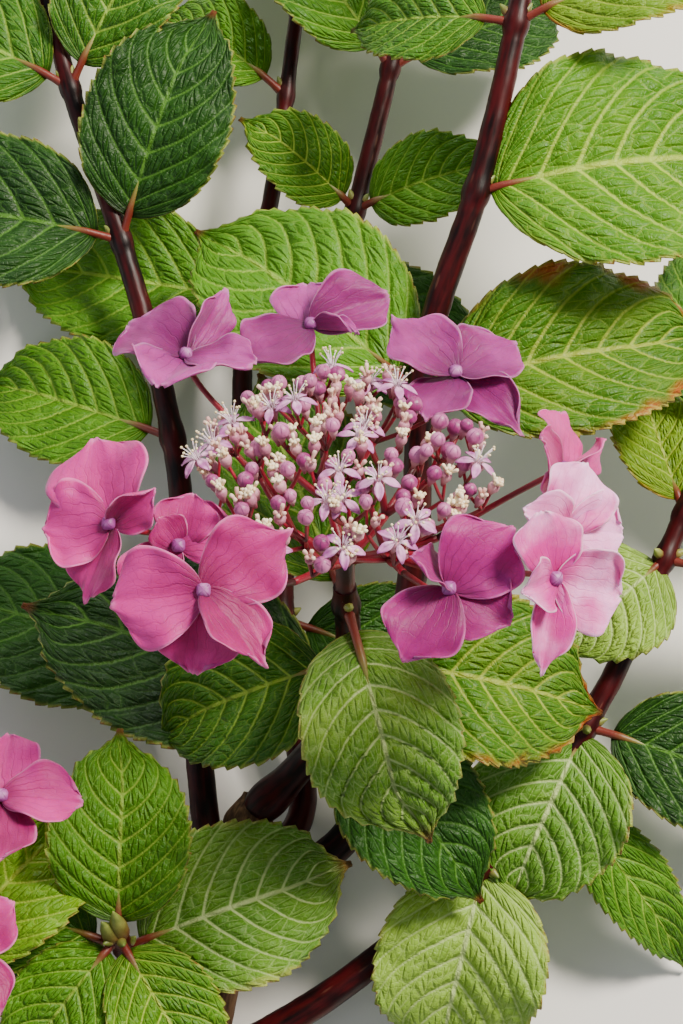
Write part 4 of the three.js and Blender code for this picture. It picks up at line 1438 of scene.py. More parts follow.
@dataclass
class Foliage:
    """The leaves: toothed, veined and quilted blades on their stalks, gathered by tint."""

    origin: Array
    quilt: Quilt = Quilt()
    margin: Margin = Margin()
    bud_shapes: LeafBuds = LeafBuds()
    columns: int = 24
    column_power: float = 0.85
    spine_points: int = 120
    thick_mm: float = 0.45
    lowest_mm: float = 1.2
    narrowest_mm: float = 0.7
    usual_mm: float = 26.0
    most_relief: float = 1.15
    rise: float = 0.62
    fall: float = 0.95
    drip: float = 0.5
    drip_from: Pair = (0.78, 0.96)
    fold_chance: Pair = (-5.0, 7.0)
    fold_wave: Wave = Wave(5.0, 0, 5.0)
    ripple: Wave = Wave(1.0, 2, 4 * math.pi)
    hem_chance: float = 16.0
    hook_chance: float = 0.035
    stalk_mm: Triple = (1.6, 1.1, 0.4)
    stalk_reach: float = 0.15
    stalk_points: int = 40
    stalk_stops: int = 17
    stalk_rings: Counts = (32, 8)
    rib_mm: Pair = (0.8, 0.35)
    rib_share: float = 0.92
    rib_sink: float = 1.1
    rib_rings: Counts = (26, 6)
    blades: dict[Tint, Bag] = field(default_factory=dict)
    nodes: dict[Tint, list[str]] = field(default_factory=dict)
    stalks: Bag = field(default_factory=Bag)
    ribs: Bag = field(default_factory=Bag)
    buds: Bag = field(default_factory=Bag)

    def width(self, u: Array) -> Array:
        """Draws the outline of a leaf.

        Args:
            u: The shares of its length.

        Returns:
            Its width there, as a share of the widest.
        """
        widest = self.rise / (self.rise + self.fall)
        plain = (u / widest) ** self.rise * ((1 - u) / (1 - widest)) ** self.fall
        return plain * (1 - self.drip * ease(u, *self.drip_from))

    def spine(self, stem: str, leaf: Leaf) -> Line:
        """Draws the line of a leaf's stalk and midrib.

        Args:
            stem: The stem that bears it.
            leaf: The leaf.

        Returns:
            The line from the middle of the stem to the tip.
        """
        root = smooth_line(STEMS[stem].through).at(leaf.at)
        tip = np.array(leaf.tip, float)
        middle = (root + tip) / 2
        middle[2] += leaf.arch * np.linalg.norm(tip - root) * 2
        return bent_line(root, middle, tip, self.spine_points)

    def blade(self, spine: Line, leaf: Leaf, rng: Dice) -> tuple[Array, Array]:
        """Shapes the blade of one leaf.

        Args:
            spine: The line that it follows.
            leaf: Its shape.
            rng: The source of its differences.

        Returns:
            The grid of its points, and the share along and across it of each.
        """
        margin = self.margin
        blade_mm = spine.length - leaf.petiole
        u = np.linspace(0, 1, margin.rows(blade_mm))
        v = np.linspace(-1, 1, self.columns + 1)
        v = np.sign(v) * np.abs(v) ** self.column_power
        bare = leaf.petiole / spine.length
        share = bare + (1 - bare) * u
        ahead = spine.ahead(share)
        side = unit(np.cross(ahead, UP))
        up = np.cross(side, ahead)
        widest = leaf.width * blade_mm / 2
        half = np.maximum(self.narrowest_mm, widest * self.width(u))[:, None]
        u_grid, v_grid = np.broadcast_arrays(u[:, None], v[None])
        out = np.abs(v_grid)

        # Every leaf folds, turns up a hem and ripples a little by chance
        phase = rng.uniform(0, FULL_TURN, 5)
        fold = leaf.fold + rng.uniform(*self.fold_chance) + self.fold_wave.at(u_grid, v_grid, phase[0])
        hem = leaf.hem + rng.uniform(-self.hem_chance, self.hem_chance)
        turned_up = np.abs(hem) * ease(out, margin.hem_from, 1.0) * (v_grid * hem > 0)
        bend = fold + leaf.curl * out + turned_up
        right, above = bent_across(half, v, np.radians(bend) * np.sign(v_grid))
        ripple = leaf.wave * half * v_grid**2 * self.ripple.at(u_grid, v_grid, phase[1])
        frill = half * out**margin.frill_power * margin.frill.at(u_grid, v_grid, phase[2])

        # Teeth stand out from its edge, its lobes lie back and its tip hooks aside
        teeth = margin.teeth(half[:, 0])
        edge = out == 1
        right = right + np.sign(v_grid) * edge * teeth[:, None] * margin.tooth_out
        forward = edge * np.maximum(teeth, 0)[:, None] * margin.tooth_ahead
        lobes = out**margin.lobe_power * (1 - ease(u_grid, 0.0, margin.lobe_share))
        back = leaf.lobes * spine.length * lobes
        hook = leaf.hook + rng.uniform(-self.hook_chance, self.hook_chance)
        right = right + hook * spine.length * ease(u_grid, margin.hook_from, 1.0)
        size = leaf.puckers * min(self.most_relief, widest / self.usual_mm)
        above = above + ripple + frill + self.quilt.height(u_grid, v_grid, size)
        above = above - margin.lobe_drop * back
        points = spine.at(share)[:, None] + side[:, None] * right[..., None]
        points = points + up[:, None] * above[..., None] + ahead[:, None] * (forward - back)[..., None]
        points[..., 2] = np.maximum(points[..., 2], self.lowest_mm)
        return points, np.stack([u_grid, v_grid], axis=-1)

    def stalk(self, spine: Line, leaf: Leaf) -> Array:
        """Shapes the bare stalk of a leaf, which runs on as the upper side of its midrib.

        Args:
            spine: The line that the leaf follows.
            leaf: Its shape.

        Returns:
            The rings of the stalk.
        """
        base, neck, end = self.stalk_mm
        bare = leaf.petiole / spine.length
        reach = bare + self.stalk_reach * (1 - bare)
        share = np.linspace(0, reach, self.stalk_points)
        sunk = (self.quilt.groove_mm + end) * np.clip((share - bare) / (reach - bare), 0, 1)
        line = Line(spine.at(share) - UP * sunk[:, None])
        stops = np.linspace(0, reach, self.stalk_stops)
        radii = np.interp(stops, [0, bare / 2, bare, reach], [base, neck, neck, end])
        return tube(line, list(radii), *self.stalk_rings)

    def add_leaf(self, stem: str, leaf: Leaf, node: str, rng: Dice) -> None:
        """Adds one leaf with its stalk, midrib and the bud above it.

        Args:
            stem: The stem that bears it.
            leaf: The leaf.
            node: The frame's node that it belongs to.
            rng: The source of its differences.
        """
        spine = self.spine(stem, leaf)
        points, places = self.blade(spine, leaf, rng)
        self.blades.setdefault(leaf.tint, Bag()).add(points, False, places, rng.random())
        nodes = self.nodes.setdefault(leaf.tint, [])
        if node not in nodes:
            nodes.append(node)
        self.stalks.add(self.stalk(spine, leaf), True, chance=rng.random())
        middle = points[:, self.columns // 2]
        rib = middle[: round(self.rib_share * len(middle))] - UP * self.rib_sink * self.rib_mm[0]
        rib[:, 2] = np.maximum(rib[:, 2], self.rib_mm[0])
        self.ribs.add(tube(Line(rib), self.rib_mm, *self.rib_rings), True, chance=rng.random())
        bud = self.bud_shapes
        along_stem = smooth_line(STEMS[stem].through).ahead(leaf.at)
        way = unit(along_stem + bud.axil_lean * spine.ahead(bud.axil_from))
        length, radius = bud.axil_mm
        foot = spine.at(0.0) + way * STEMS[stem].radius[1] * bud.axil_seat
        self.buds.add(pod(foot, foot + way * length, radius, bud.axil_shape), True, chance=rng.random())

    def add_tip_buds(self, rng: Dice) -> None:
        """Adds the pointed bud, of two folded young leaves, at the tip of each leafy shoot.

        Args:
            rng: The source of differences.
        """
        bud = self.bud_shapes
        length, radius = bud.tip_mm
        usual, more = bud.tip_reach
        foot_apart, tip_apart = bud.tip_apart_mm
        for stem in SPRAY_LEAVES:
            line = smooth_line(STEMS[stem].through)
            way, end = line.ahead(1.0), line.at(1.0)
            side = unit(np.cross(way, UP))
            for turn in (-1, 1):
                foot = end - way * bud.tip_sink_mm + side * turn * foot_apart
                tip = end + way * length * (usual + more * turn) + side * turn * tip_apart
                self.buds.add(pod(foot, tip, radius, bud.tip_shape), True, chance=rng.random())

    def build(self) -> None:
        """Builds and dresses all leaves."""
        rng = np.random.default_rng(SEED)
        for stem, leaves in SINGLE_LEAVES.items():
            for number, leaf in enumerate(leaves, 1):
                self.add_leaf(stem, leaf, f"leaf_{stem}_{number}", rng)
        for stem, leaves in SPRAY_LEAVES.items():
            for leaf in leaves:
                self.add_leaf(stem, leaf, f"spray_{stem}", rng)
        self.add_tip_buds(rng)
        under = UNDERSIDE_FINISH.make()
        for tint, bag in self.blades.items():
            piece = bag.make(f"leaves_{tint.value}", self.origin, [BLADE_FINISHES[tint].make(), under])
            finish_with(piece, "SOLIDIFY", thickness=self.thick_mm * MM, offset=0.0, material_offset=1)
            dress(piece, self.nodes[tint])
        for name, bag, finish in (
            ("leaf_stalks", self.stalks, PETIOLE_FINISH),
            ("leaf_midribs", self.ribs, MIDRIB_FINISH),
            ("leaf_buds", self.buds, LEAF_BUD_FINISH),
        ):
            dress(bag.make(name, self.origin, [finish.make()]))


class Stage(Enum):
    """How far a small flower has come."""

    BUD = "bud"
    OPEN = "open"
    CROWN = "crown"
    SPENT = "spent"


@dataclass(frozen=True)
class Rays:
    """The forking rays under a flower head: their depths below the disc, reaches and radii."""

    fork_depth: float = 41.0
    neck_depth: Pair = (44.0, 32.0)
    neck_radius: Pair = (2.6, 2.3)
    inner_count: int = 5
    inner_reach: float = 12.0
    inner_depth: float = 24.0
    inner_radius: Pair = (1.5, 1.2)
    outer_count: int = 14
    outer_reach: float = 0.72
    outer_depth: float = 11.0
    outer_radius: Pair = (1.0, 0.7)
    twig_share: float = 3.2
    twig_reach: float = 0.93
    twig_depth: float = 1.5
    twig_radius: Pair = (0.6, 0.45)
    stalk_radius: Pair = (0.42, 0.38)
    stalk_gap: float = 1.5
    stub_share: float = 0.3
    stub_sink: float = 3.0
    stub_radius: Pair = (1.0, 0.9)
    floret_pull: float = 12.0
    floret_gap: float = 0.6
    floret_radius: Numbers = (0.85, 0.7, 0.75)
    floret_rings: Counts = (20, 8)
    sag: float = 0.12
    points: int = 12
    rings: Counts = (8, 7)


@dataclass(frozen=True)
class ClosedBud:
    """A closed bud: a bead whose seams sink in from its flank to its top, by shares of its radius."""

    radius_mm: Pair = (1.6, 2.2)
    grid: Counts = (10, 16)
    height: float = 0.94
    seams: int = 5
    seam_spread: float = 0.03
    seam_depth: float = 0.12
    seam_start: float = -0.5
    cup_drop: float = 0.75


@dataclass(frozen=True)
class Cup:
    """The small funnel below a flower: its depth, rim and radii, and its size at each stage."""

    depth_mm: float = 4.0
    rim_mm: float = 0.5
    radii_mm: Numbers = (0.5, 0.7, 1.05, 1.5, 1.65, 1.2)
    rings: Counts = (7, 9)
    under_bud: float = 0.7
    under_open: float = 0.8
    under_crown: Pair = (0.85, 1.0)
    under_spent: Pair = (0.75, 0.95)


@dataclass(frozen=True)
class Petals:
    """Five pointed petals that spread and bend back."""

    count: int = 5
    grid: Counts = (6, 5)
    thick_mm: float = 0.25
    half_mm: float = 1.15
    ends: Pair = (0.06, 0.97)
    end_power: float = 0.75
    foot_mm: float = 1.0
    length_mm: float = 4.2
    height_mm: float = 0.9
    bend_mm: float = 1.5
    trough_mm: float = 0.35


@dataclass(frozen=True)
class Stamens:
    """Ten long thin filaments with their anthers. Each bends at pull, as shares of the place of its tip."""

    count: int = 10
    stray: float = 0.15
    lean: Pair = (0.35, 0.8)
    length_mm: Pair = (4.2, 6.0)
    foot_mm: Pair = (0.7, 0.6)
    pull: Triple = (0.25, 0.25, 0.6)
    points: int = 8
    radii_mm: Pair = (0.15, 0.12)
    rings: Counts = (4, 4)
    anther_mm: Triple = (0.28, 0.1, 0.25)
    anther_radii_mm: Numbers = (0.16, 0.36, 0.34, 0.14)
    anther_rings: Counts = (3, 5)


@dataclass(frozen=True)
class Prongs:
    """Small knobbed prongs on top of a flower. Each bends at pull, as shares of the place of its tip."""

    lean: Pair
    length_mm: Pair
    radii_mm: Numbers
    stray: float = 0.2
    foot_mm: float = 0.5
    pull: Triple = (0.35, 0.35, 0.6)
    points: int = 6
    rings: Counts = (5, 5)


# The crown of an opening flower has nine outer prongs and three inner ones
CROWN_RADII = (0.22, 0.2, 0.3, 0.5, 0.36)
CROWN_PRONGS = {
    9: Prongs((0.3, 0.9), (1.5, 2.7), CROWN_RADII),
    3: Prongs((0.0, 0.3), (1.6, 2.4), CROWN_RADII),
}
SPENT_COUNTS = (3, 4)
SPENT_PRONGS = Prongs((0.35, 0.8), (1.8, 2.8), (0.45, 0.32, 0.34, 0.6, 0.45))


@dataclass(frozen=True)
class Fan:
    """The make of every sepal, and how far it departs from an even fan, as shares of its size."""

    rows: int = 30
    columns: int = 26
    thick_mm: float = 0.24
    gap_mm: float = 0.9
    claw_mm: float = 0.8
    claw_share: float = 0.25
    fullness: float = 1.47
    opening: float = 0.5
    closing: float = 0.55
    curl: float = 6.0
    fold_chance: Pair = (-4.0, 8.0)
    fold_wave: Wave = Wave(7.0, 0, 4)
    hem_chance: float = 22.0
    hem_from: float = 0.5
    hem_start: Pair = (0.1, 0.5)
    reach: float = 1.03
    corner_loss: float = 0.13
    notch: Wave = Wave(0.012, 6, 0)
    nick: Wave = Wave(0.0084, 15, 0)
    back: float = 0.14
    ripple: Wave = Wave(0.07, 2, 4 * math.pi)
    swell: Wave = Wave(0.04, 0.8 * math.pi, 1.2 * math.pi)
    ruffle: Wave = Wave(0.02, 9, 7)
    crimp: Wave = Wave(0.008, 23, 5)

    def width(self, u: Array) -> Array:
        """Returns the width of a sepal at shares of its length, as a share of the widest."""
        full = self.fullness * u**self.opening * (1 - u**3) ** self.closing
        return np.maximum(full, self.claw_share * u)


@dataclass(frozen=True)
class Eye:
    """The closed flower in the middle of a floret: a low bead of four lobes."""

    radius_mm: float = 1.71
    height_mm: float = 1.52
    lift_mm: float = 0.9
    grid: Counts = (9, 17)
    lobes: int = 4
    lobe_depth: float = 0.08


@dataclass(frozen=True)
class Ring:
    """The even ring of florets round the second head. Its heights, lifts and tones take turns."""

    count: int = 7
    reach_mm: float = 46.0
    start: float = 12.0
    tilt: float = 22.0
    heights_mm: Pair = (-4.0, 1.0)
    sepals: int = 4
    sepal_mm: float = 18.0
    sepal_turn: float = 37.0
    lifts: Pair = (4.0, 10.0)
    # The tones bring painted sunlight and painted shade by turns
    tones: tuple[Tone, ...] = (Tone.ROSE, Tone.PALE, Tone.DEEP)


@dataclass
class FlowerHeads:
    """The lace: small fertile flowers on crimson rays, ringed by four-sepalled florets."""

    origin: Array
    rays: Rays = Rays()
    closed_bud: ClosedBud = ClosedBud()
    cups: Cup = Cup()
    petal: Petals = Petals()
    stamen: Stamens = Stamens()
    fan: Fan = Fan()
    eye: Eye = Eye()
    ring: Ring = Ring()
    crown_mm: float = 5.0
    fall: float = 0.006
    stage_shares: Numbers = (0.34, 0.13, 0.27, 0.26)
    clumping: float = 0.42
    stray_mm: float = 1.0
    height_chance_mm: Pair = (-3.0, 2.6)
    sway: float = 0.25
    clearance_mm: float = 13.0
    bags: dict[str, Bag] = field(default_factory=dict)

    def bag(self, kind: str) -> Bag:
        """Returns the bag of one kind of small shape."""
        return self.bags.setdefault(kind, Bag())

    def frame(self, bloom: Bloom) -> tuple[Array, Array, Array]:
        """Works out the directions of a flower head.

        Args:
            bloom: The flower head.

        Returns:
            The directions across, along and out of its disc.
        """
        out = unit(np.array(bloom.faces, float))
        across = unit(RIGHT - out * RIGHT.dot(out))
        return across, np.cross(out, across), out

    def place(self, bloom: Bloom, x: float, y: float, height: float) -> Array:
        """Returns the point across, along and over the disc of a flower head."""
        across, along, out = self.frame(bloom)
        return np.array(bloom.centre, float) + across * x + along * y + out * height

    def spiral(self, count: int, radius: float) -> Array:
        """Spreads places evenly over a round disc, as seeds stand in a flower head.

        Args:
            count: The number of places.
            radius: The radius of the disc.

        Returns:
            For each place how far it is across, along and from the middle.
        """
        k = np.arange(count)
        reach = radius * np.sqrt((k + 0.5) / count)
        return np.column_stack([reach * np.cos(GOLDEN_ANGLE * k), reach * np.sin(GOLDEN_ANGLE * k), reach])

    def ray(self, kind: str, start: Array, end: Array, out: Array, radii: Pair) -> None:
        """Adds a ray that leaves its fork outwards and comes up to its end.

        Args:
            kind: The bag that it goes in.
            start: The fork that it leaves.
            end: The point that it bears.
            out: The way that the flower head faces.
            radii: Its radii at both ends.
        """
        rise = float((end - start).dot(out))
        middle = (start + end) / 2 - out * self.rays.sag * abs(rise)
        line = bent_line(start, middle, end, self.rays.points)
        self.bag(kind).add(tube(line, radii, *self.rays.rings), True)

    def bud(self, place: Array, out: Array, size: float, spin: float, chance: float) -> None:
        """Adds a closed bud: a bead with five seams that meet at its top.

        Args:
            place: Its middle.
            out: The way that it faces.
            size: Its radius in millimetres.
            spin: How far it is turned, in radians.
            chance: Its own shade, from 0 to 1.
        """
        shape = self.closed_bud
        rise, turn = bead_angles(*shape.grid)
        from_seam = (turn / FULL_TURN * shape.seams) % 1 - 0.5
        seam = np.exp(-(from_seam**2) / shape.seam_spread)
        depth = shape.seam_depth * np.clip(np.sin(rise) - shape.seam_start, 0, 1)
        points = bead(rise, turn + spin, size * (1 - depth * seam), shape.height * size)
        self.bag("buds").add(points @ standing(out) + place, False, chance=chance)

    def petals(self, place: Array, out: Array, spin: float) -> None:
        """Adds five pointed petals that spread and bend back.

        Args:
            place: The middle of their flower.
            out: The way that it faces.
            spin: How far it is turned, in radians.
        """
        shape = self.petal
        frame = standing(out)
        rows, columns = shape.grid
        u = np.linspace(0, 1, rows)[:, None]
        v = np.linspace(-1, 1, columns)[None]
        half = shape.half_mm * np.sin(math.pi * np.clip(u, *shape.ends)) ** shape.end_power
        x = shape.foot_mm + shape.length_mm * u + 0 * v
        y = half * v
        z = shape.height_mm - shape.bend_mm * u**2 + shape.trough_mm * v**2
        for k in range(shape.count):
            angle = spin + FULL_TURN * k / shape.count
            across = x * math.cos(angle) - y * math.sin(angle)
            along = x * math.sin(angle) + y * math.cos(angle)
            points = np.stack([across, along, z], axis=-1)
            self.bag("petals").add(points @ frame + place, False)

    def stamens(self, place: Array, out: Array, spin: float, rng: Dice) -> None:
        """Adds ten long thin filaments, each with its anther.

        Args:
            place: The middle of their flower.
            out: The way that it faces.
            spin: How far it is turned, in radians.
            rng: The source of their differences.
        """
        shape = self.stamen
        frame = standing(out)
        reach, below, above = shape.anther_mm
        for k in range(shape.count):
            angle = spin + FULL_TURN * k / shape.count + rng.uniform(-shape.stray, shape.stray)
            lean = rng.uniform(*shape.lean)
            tip = unit(spoke(angle, lean, 1.0)) * rng.uniform(*shape.length_mm)
            foot = spoke(angle, *shape.foot_mm)
            line = bent_line(foot, tip * shape.pull, tip, shape.points)
            filament = tube(line, shape.radii_mm, *shape.rings)
            self.bag("stamens").add(filament @ frame + place, True)
            knob = straight_line(tip - [reach, 0, below], tip + [reach, 0, above])
            anther = tube(knob, shape.anther_radii_mm, *shape.anther_rings)
            self.bag("anthers").add(anther @ frame + place, True)

    def cup(self, place: Array, out: Array, size: float, chance: float) -> None:
        """Adds the small funnel below a flower.

        Args:
            place: The middle of its rim.
            out: The way that it faces.
            size: Its size against a usual one.
            chance: Its own shade, from 0 to 1.
        """
        shape = self.cups
        line = straight_line(place - out * shape.depth_mm * size, place + out * shape.rim_mm * size)
        radii = [radius * size for radius in shape.radii_mm]
        self.bag("cups").add(tube(line, radii, *shape.rings), True, chance=chance)

    def prong_ring(self, kind: str, place: Array, out: Array, count: int, shape: Prongs, rng: Dice) -> None:
        """Adds the small knobbed prongs on top of a flower.

        Args:
            kind: The bag that they go in.
            place: Where they spring from.
            out: The way that the flower faces.
            count: How many they are.
            shape: Their shape.
            rng: The source of their differences.
        """
        frame = standing(out)
        spin = rng.uniform(0, FULL_TURN)
        for k in range(count):
            angle = spin + FULL_TURN * k / count + rng.uniform(-shape.stray, shape.stray)
            lean = rng.uniform(*shape.lean)
            tip = spoke(angle, lean, 1.0) * rng.uniform(*shape.length_mm)
            line = bent_line(spoke(angle, shape.foot_mm, 0.0), tip * shape.pull, tip, shape.points)
            prong = tube(line, shape.radii_mm, *shape.rings)
            self.bag(kind).add(prong @ frame + place, True, chance=rng.random())

    def small_flower(self, place: Array, out: Array, stage: Stage, rng: Dice) -> None:
        """Adds one small flower.

        Args:
            place: Its middle.
            out: The way that it faces.
            stage: How far it has come.
            rng: The source of its differences.
        """
        spin = rng.uniform(0, FULL_TURN)
        chance = rng.random()
        if stage is Stage.BUD:
            size = rng.uniform(*self.closed_bud.radius_mm)
            self.bud(place, out, size, spin, chance)
            self.cup(place - out * self.closed_bud.cup_drop * size, out, self.cups.under_bud, chance)
        elif stage is Stage.OPEN:
            self.cup(place, out, self.cups.under_open, chance)
            self.petals(place, out, spin)
            self.stamens(place, out, spin, rng)
        elif stage is Stage.CROWN:
            self.cup(place, out, rng.uniform(*self.cups.under_crown), chance)
            for count, shape in CROWN_PRONGS.items():
                self.prong_ring("crowns", place, out, count, shape, rng)
        else:
            self.cup(place, out, rng.uniform(*self.cups.under_spent), chance)
            count = int(rng.integers(*SPENT_COUNTS, endpoint=True))
            self.prong_ring("styles", place, out, count, SPENT_PRONGS, rng)

    def forks(self, bloom: Bloom) -> tuple[list[Array], list[Array]]:
        """Works out where the rays of a flower head fork.

        Args:
            bloom: The flower head.

        Returns:
            The inner forks, and the outer ones that grow from them.
        """
        rays = self.rays
        turns = FULL_TURN * (np.arange(rays.inner_count) + 0.5) / rays.inner_count
        ring = rays.inner_reach * np.column_stack([np.cos(turns), np.sin(turns)])
        inner = [self.place(bloom, x, y, -rays.inner_depth) for x, y in ring]
        outer = [
            self.place(bloom, x, y, -rays.outer_depth - self.fall * reach**2)
            for x, y, reach in self.spiral(rays.outer_count, rays.outer_reach * bloom.radius)
        ]
        return inner, outer

    def lace(self, bloom: Bloom, eyes: Sequence[Array], roots: Sequence[Array], rng: Dice) -> None:
        """Adds the rays and small flowers of one head.

        Args:
            bloom: The flower head.
            eyes: The middles of its florets, which small flowers keep clear of.
            roots: Where the stalks of its florets spring from their stubs.
            rng: The source of differences.
        """
        rays = self.rays
        out = self.frame(bloom)[2]
        inner, outer = self.forks(bloom)
        foot = self.place(bloom, 0, 0, -rays.neck_depth[0])
        crotch = self.place(bloom, 0, 0, -rays.neck_depth[1])
        self.ray("necks", foot, crotch, out, rays.neck_radius)
        for fork in inner:
            self.ray("rays", crotch, fork, out, rays.inner_radius)
        for fork in outer:
            self.ray("rays", nearest(fork, inner), fork, out, rays.outer_radius)
        for root in roots:
            self.ray("rays", nearest(root, inner), root, out, rays.stub_radius)
        twigs = []
        twig_count = round(bloom.flowers / rays.twig_share)
        twig_places = self.spiral(twig_count, rays.twig_reach * bloom.radius)
        for x, y, reach in twig_places:
            twig = self.place(bloom, x, y, -rays.twig_depth - self.fall * reach**2)
            self.ray("rays", nearest(twig, outer), twig, out, rays.twig_radius)
            twigs.append(twig)
        stages = rng.choice(list(Stage), size=bloom.flowers, p=self.stage_shares)
        root_of_head = self.place(bloom, 0, 0, -rays.fork_depth)
        for (x, y, reach), stage in zip(self.spiral(bloom.flowers, bloom.radius), stages, strict=True):
            clump = twig_places[np.argmin(np.hypot(twig_places[:, 0] - x, twig_places[:, 1] - y))]
            x = x + self.clumping * (clump[0] - x) + rng.uniform(-self.stray_mm, self.stray_mm)
            y = y + self.clumping * (clump[1] - y) + rng.uniform(-self.stray_mm, self.stray_mm)
            height = self.crown_mm - self.fall * reach**2 + rng.uniform(*self.height_chance_mm)
            place = self.place(bloom, x, y, height)
            facing = unit(out + unit(place - root_of_head) + rng.uniform(-self.sway, self.sway, 3))
            if np.linalg.norm(place - nearest(place, eyes)) > self.clearance_mm:
                stalk_end = place - facing * rays.stalk_gap
                self.ray("rays", nearest(place, twigs), stalk_end, out, rays.stalk_radius)
                self.small_flower(place, facing, stage, rng)

    def sepal(self, eye: Array, facing: Array, sepal: Sepal, rng: Dice) -> tuple[Array, Array]:
        """Shapes one sepal.

        Args:
            eye: The middle of its floret.
            facing: The way that the floret faces.
            sepal: Its turn and size.
            rng: The source of its differences.

        Returns:
            The grid of its points, and the share along and across it of each.
        """
        turn, lift = math.radians(sepal.turn), math.radians(sepal.lift)
        flat = RIGHT * math.cos(turn) + UPWARD * math.sin(turn)
        flat = unit(flat - TOWARD * flat.dot(facing) / TOWARD.dot(facing))
        ahead = flat * math.cos(lift) + facing * math.sin(lift)
        side = turned(np.cross(facing, flat), ahead, math.radians(sepal.roll))
        up = np.cross(ahead, side)
        fan = self.fan
        u, v = np.linspace(0, 1, fan.rows)[:, None], np.linspace(-1, 1, fan.columns + 1)[None]
        half = np.maximum(fan.claw_mm, sepal.width / 2 * fan.width(u))
        out = np.abs(v)
        rim = np.maximum(out, u)
        phase = rng.uniform(0, FULL_TURN, 5)
        hem = sepal.hem + rng.uniform(-fan.hem_chance, fan.hem_chance)
        bend = sepal.fold + rng.uniform(*fan.fold_chance) - fan.curl * out + fan.fold_wave.at(u, v, phase[4])
        turned_up = abs(hem) * ease(out, fan.hem_from, 1.0) * ease(u, *fan.hem_start) * (v * hem > 0)
        right, above = bent_across(half, v[0], np.radians(bend + turned_up) * np.sign(v))
        notch = fan.notch.at(u, v, phase[0]) + fan.nick.at(u, v, phase[1])
        drawn = fan.reach - fan.corner_loss * out**2 * u**2 + sepal.point * (1 - out) ** 2 * u**6
        reach = sepal.length * (u * drawn + notch * u**3)
        uneven = fan.swell.at(u, v, phase[1]) * u
        uneven = uneven + rim**4 * fan.ruffle.at(u, v, phase[2]) + rim**2 * fan.crimp.at(u, v, phase[3])
        above = above + half * out**2 * fan.ripple.at(u, v) + sepal.length * uneven
        back = sepal.length * (fan.back * u**2 + sepal.dip * u**4) + 0 * v
        points = eye + ahead * reach[..., None] + side * right[..., None] + up * above[..., None]
        points = points - facing * back[..., None]
        return points, np.stack(np.broadcast_arrays(u, v), axis=-1)

    def floret(self, eye: Array, facing: Array, root: Array, floret: Floret, rng: Dice) -> None:
        """Adds one floret: its sepals, eye and stalk.

        Args:
            eye: Its middle.
            facing: The way that it faces.
            root: Where its stalk springs from.
            floret: Its tone and sepals.
            rng: The source of its differences.
        """
        for number, sepal in enumerate(floret.sepals):
            points, places = self.sepal(eye - facing * self.fan.gap_mm * (number % 2), facing, sepal, rng)
            self.bag(f"sepals_{floret.tone.value}").add(points, False, places, rng.random())
        rays, shape = self.rays, self.eye
        stalk = bent_line(root, eye - facing * rays.floret_pull, eye - facing * rays.floret_gap)
        self.bag("rays").add(tube(stalk, rays.floret_radius, *rays.floret_rings), True)
        rise, turn = bead_angles(*shape.grid)
        radius = shape.radius_mm * (1 - shape.lobe_depth * np.cos(shape.lobes * turn))
        points = bead(rise, turn, radius, shape.height_mm) + UP * shape.lift_mm
        self.bag("eyes").add(points @ standing(facing) + eye, False, chance=rng.random())

    def build_head(self, name: str, florets: Sequence[tuple[Array, Array, Floret]]) -> None:
        """Adds one flower head with its florets.

        Args:
            name: The head.
            florets: For each floret its middle, the way it faces and its sepals.
        """
        rng = np.random.default_rng([SEED, len(name)])
        bloom = BLOOMS[name]
        inner, _ = self.forks(bloom)
        out = self.frame(bloom)[2]
        roots = []
        for eye, _, _ in florets:
            fork = nearest(eye, inner)
            roots.append(fork + (eye - fork) * self.rays.stub_share - out * self.rays.stub_sink)
        self.lace(bloom, [eye for eye, _, _ in florets], roots, rng)
        for (eye, facing, floret), root in zip(florets, roots, strict=True):
            self.floret(eye, facing, root, floret, rng)

    def main_florets(self) -> list[tuple[Array, Array, Floret]]:
        """Places each floret of the main head where the photograph shows it.

        Returns:
            For each its middle, the way it faces and its sepals.
        """
        found = []
        for floret in MAIN_FLORETS:
            right, up = floret.faces
            facing = TOWARD * math.sqrt(1 - right**2 - up**2) + RIGHT * right + UPWARD * up
            found.append((self.place(BLOOMS["main"], *floret.at), facing, floret))
        return found

    def second_florets(self) -> list[tuple[Array, Array, Floret]]:
        """Places the florets of the second head in an even ring.

        Returns:
            For each its middle, the way it faces and its sepals.
        """
        bloom = BLOOMS["second"]
        out = self.frame(bloom)[2]
        ring, tilt = self.ring, math.radians(self.ring.tilt)
        found = []
        for k in range(ring.count):
            angle = math.radians(ring.start + 360 * k / ring.count)
            eye = self.place(bloom, *spoke(angle, ring.reach_mm, ring.heights_mm[k % 2]))
            outward = eye - np.array(bloom.centre)
            outward = unit(outward - out * outward.dot(out))
            facing = out * math.cos(tilt) + outward * math.sin(tilt)
            sepals = []
            for j in range(ring.sepals):
                turn = ring.sepal_turn * k + 360 * j / ring.sepals
                sepals.append(Sepal(turn, ring.sepal_mm, ring.sepal_mm, ring.lifts[j % 2]))
            tone = ring.tones[k % len(ring.tones)]
            found.append((eye, facing, Floret((0, 0, 0), (0, 0), tone, sepals)))
        return found

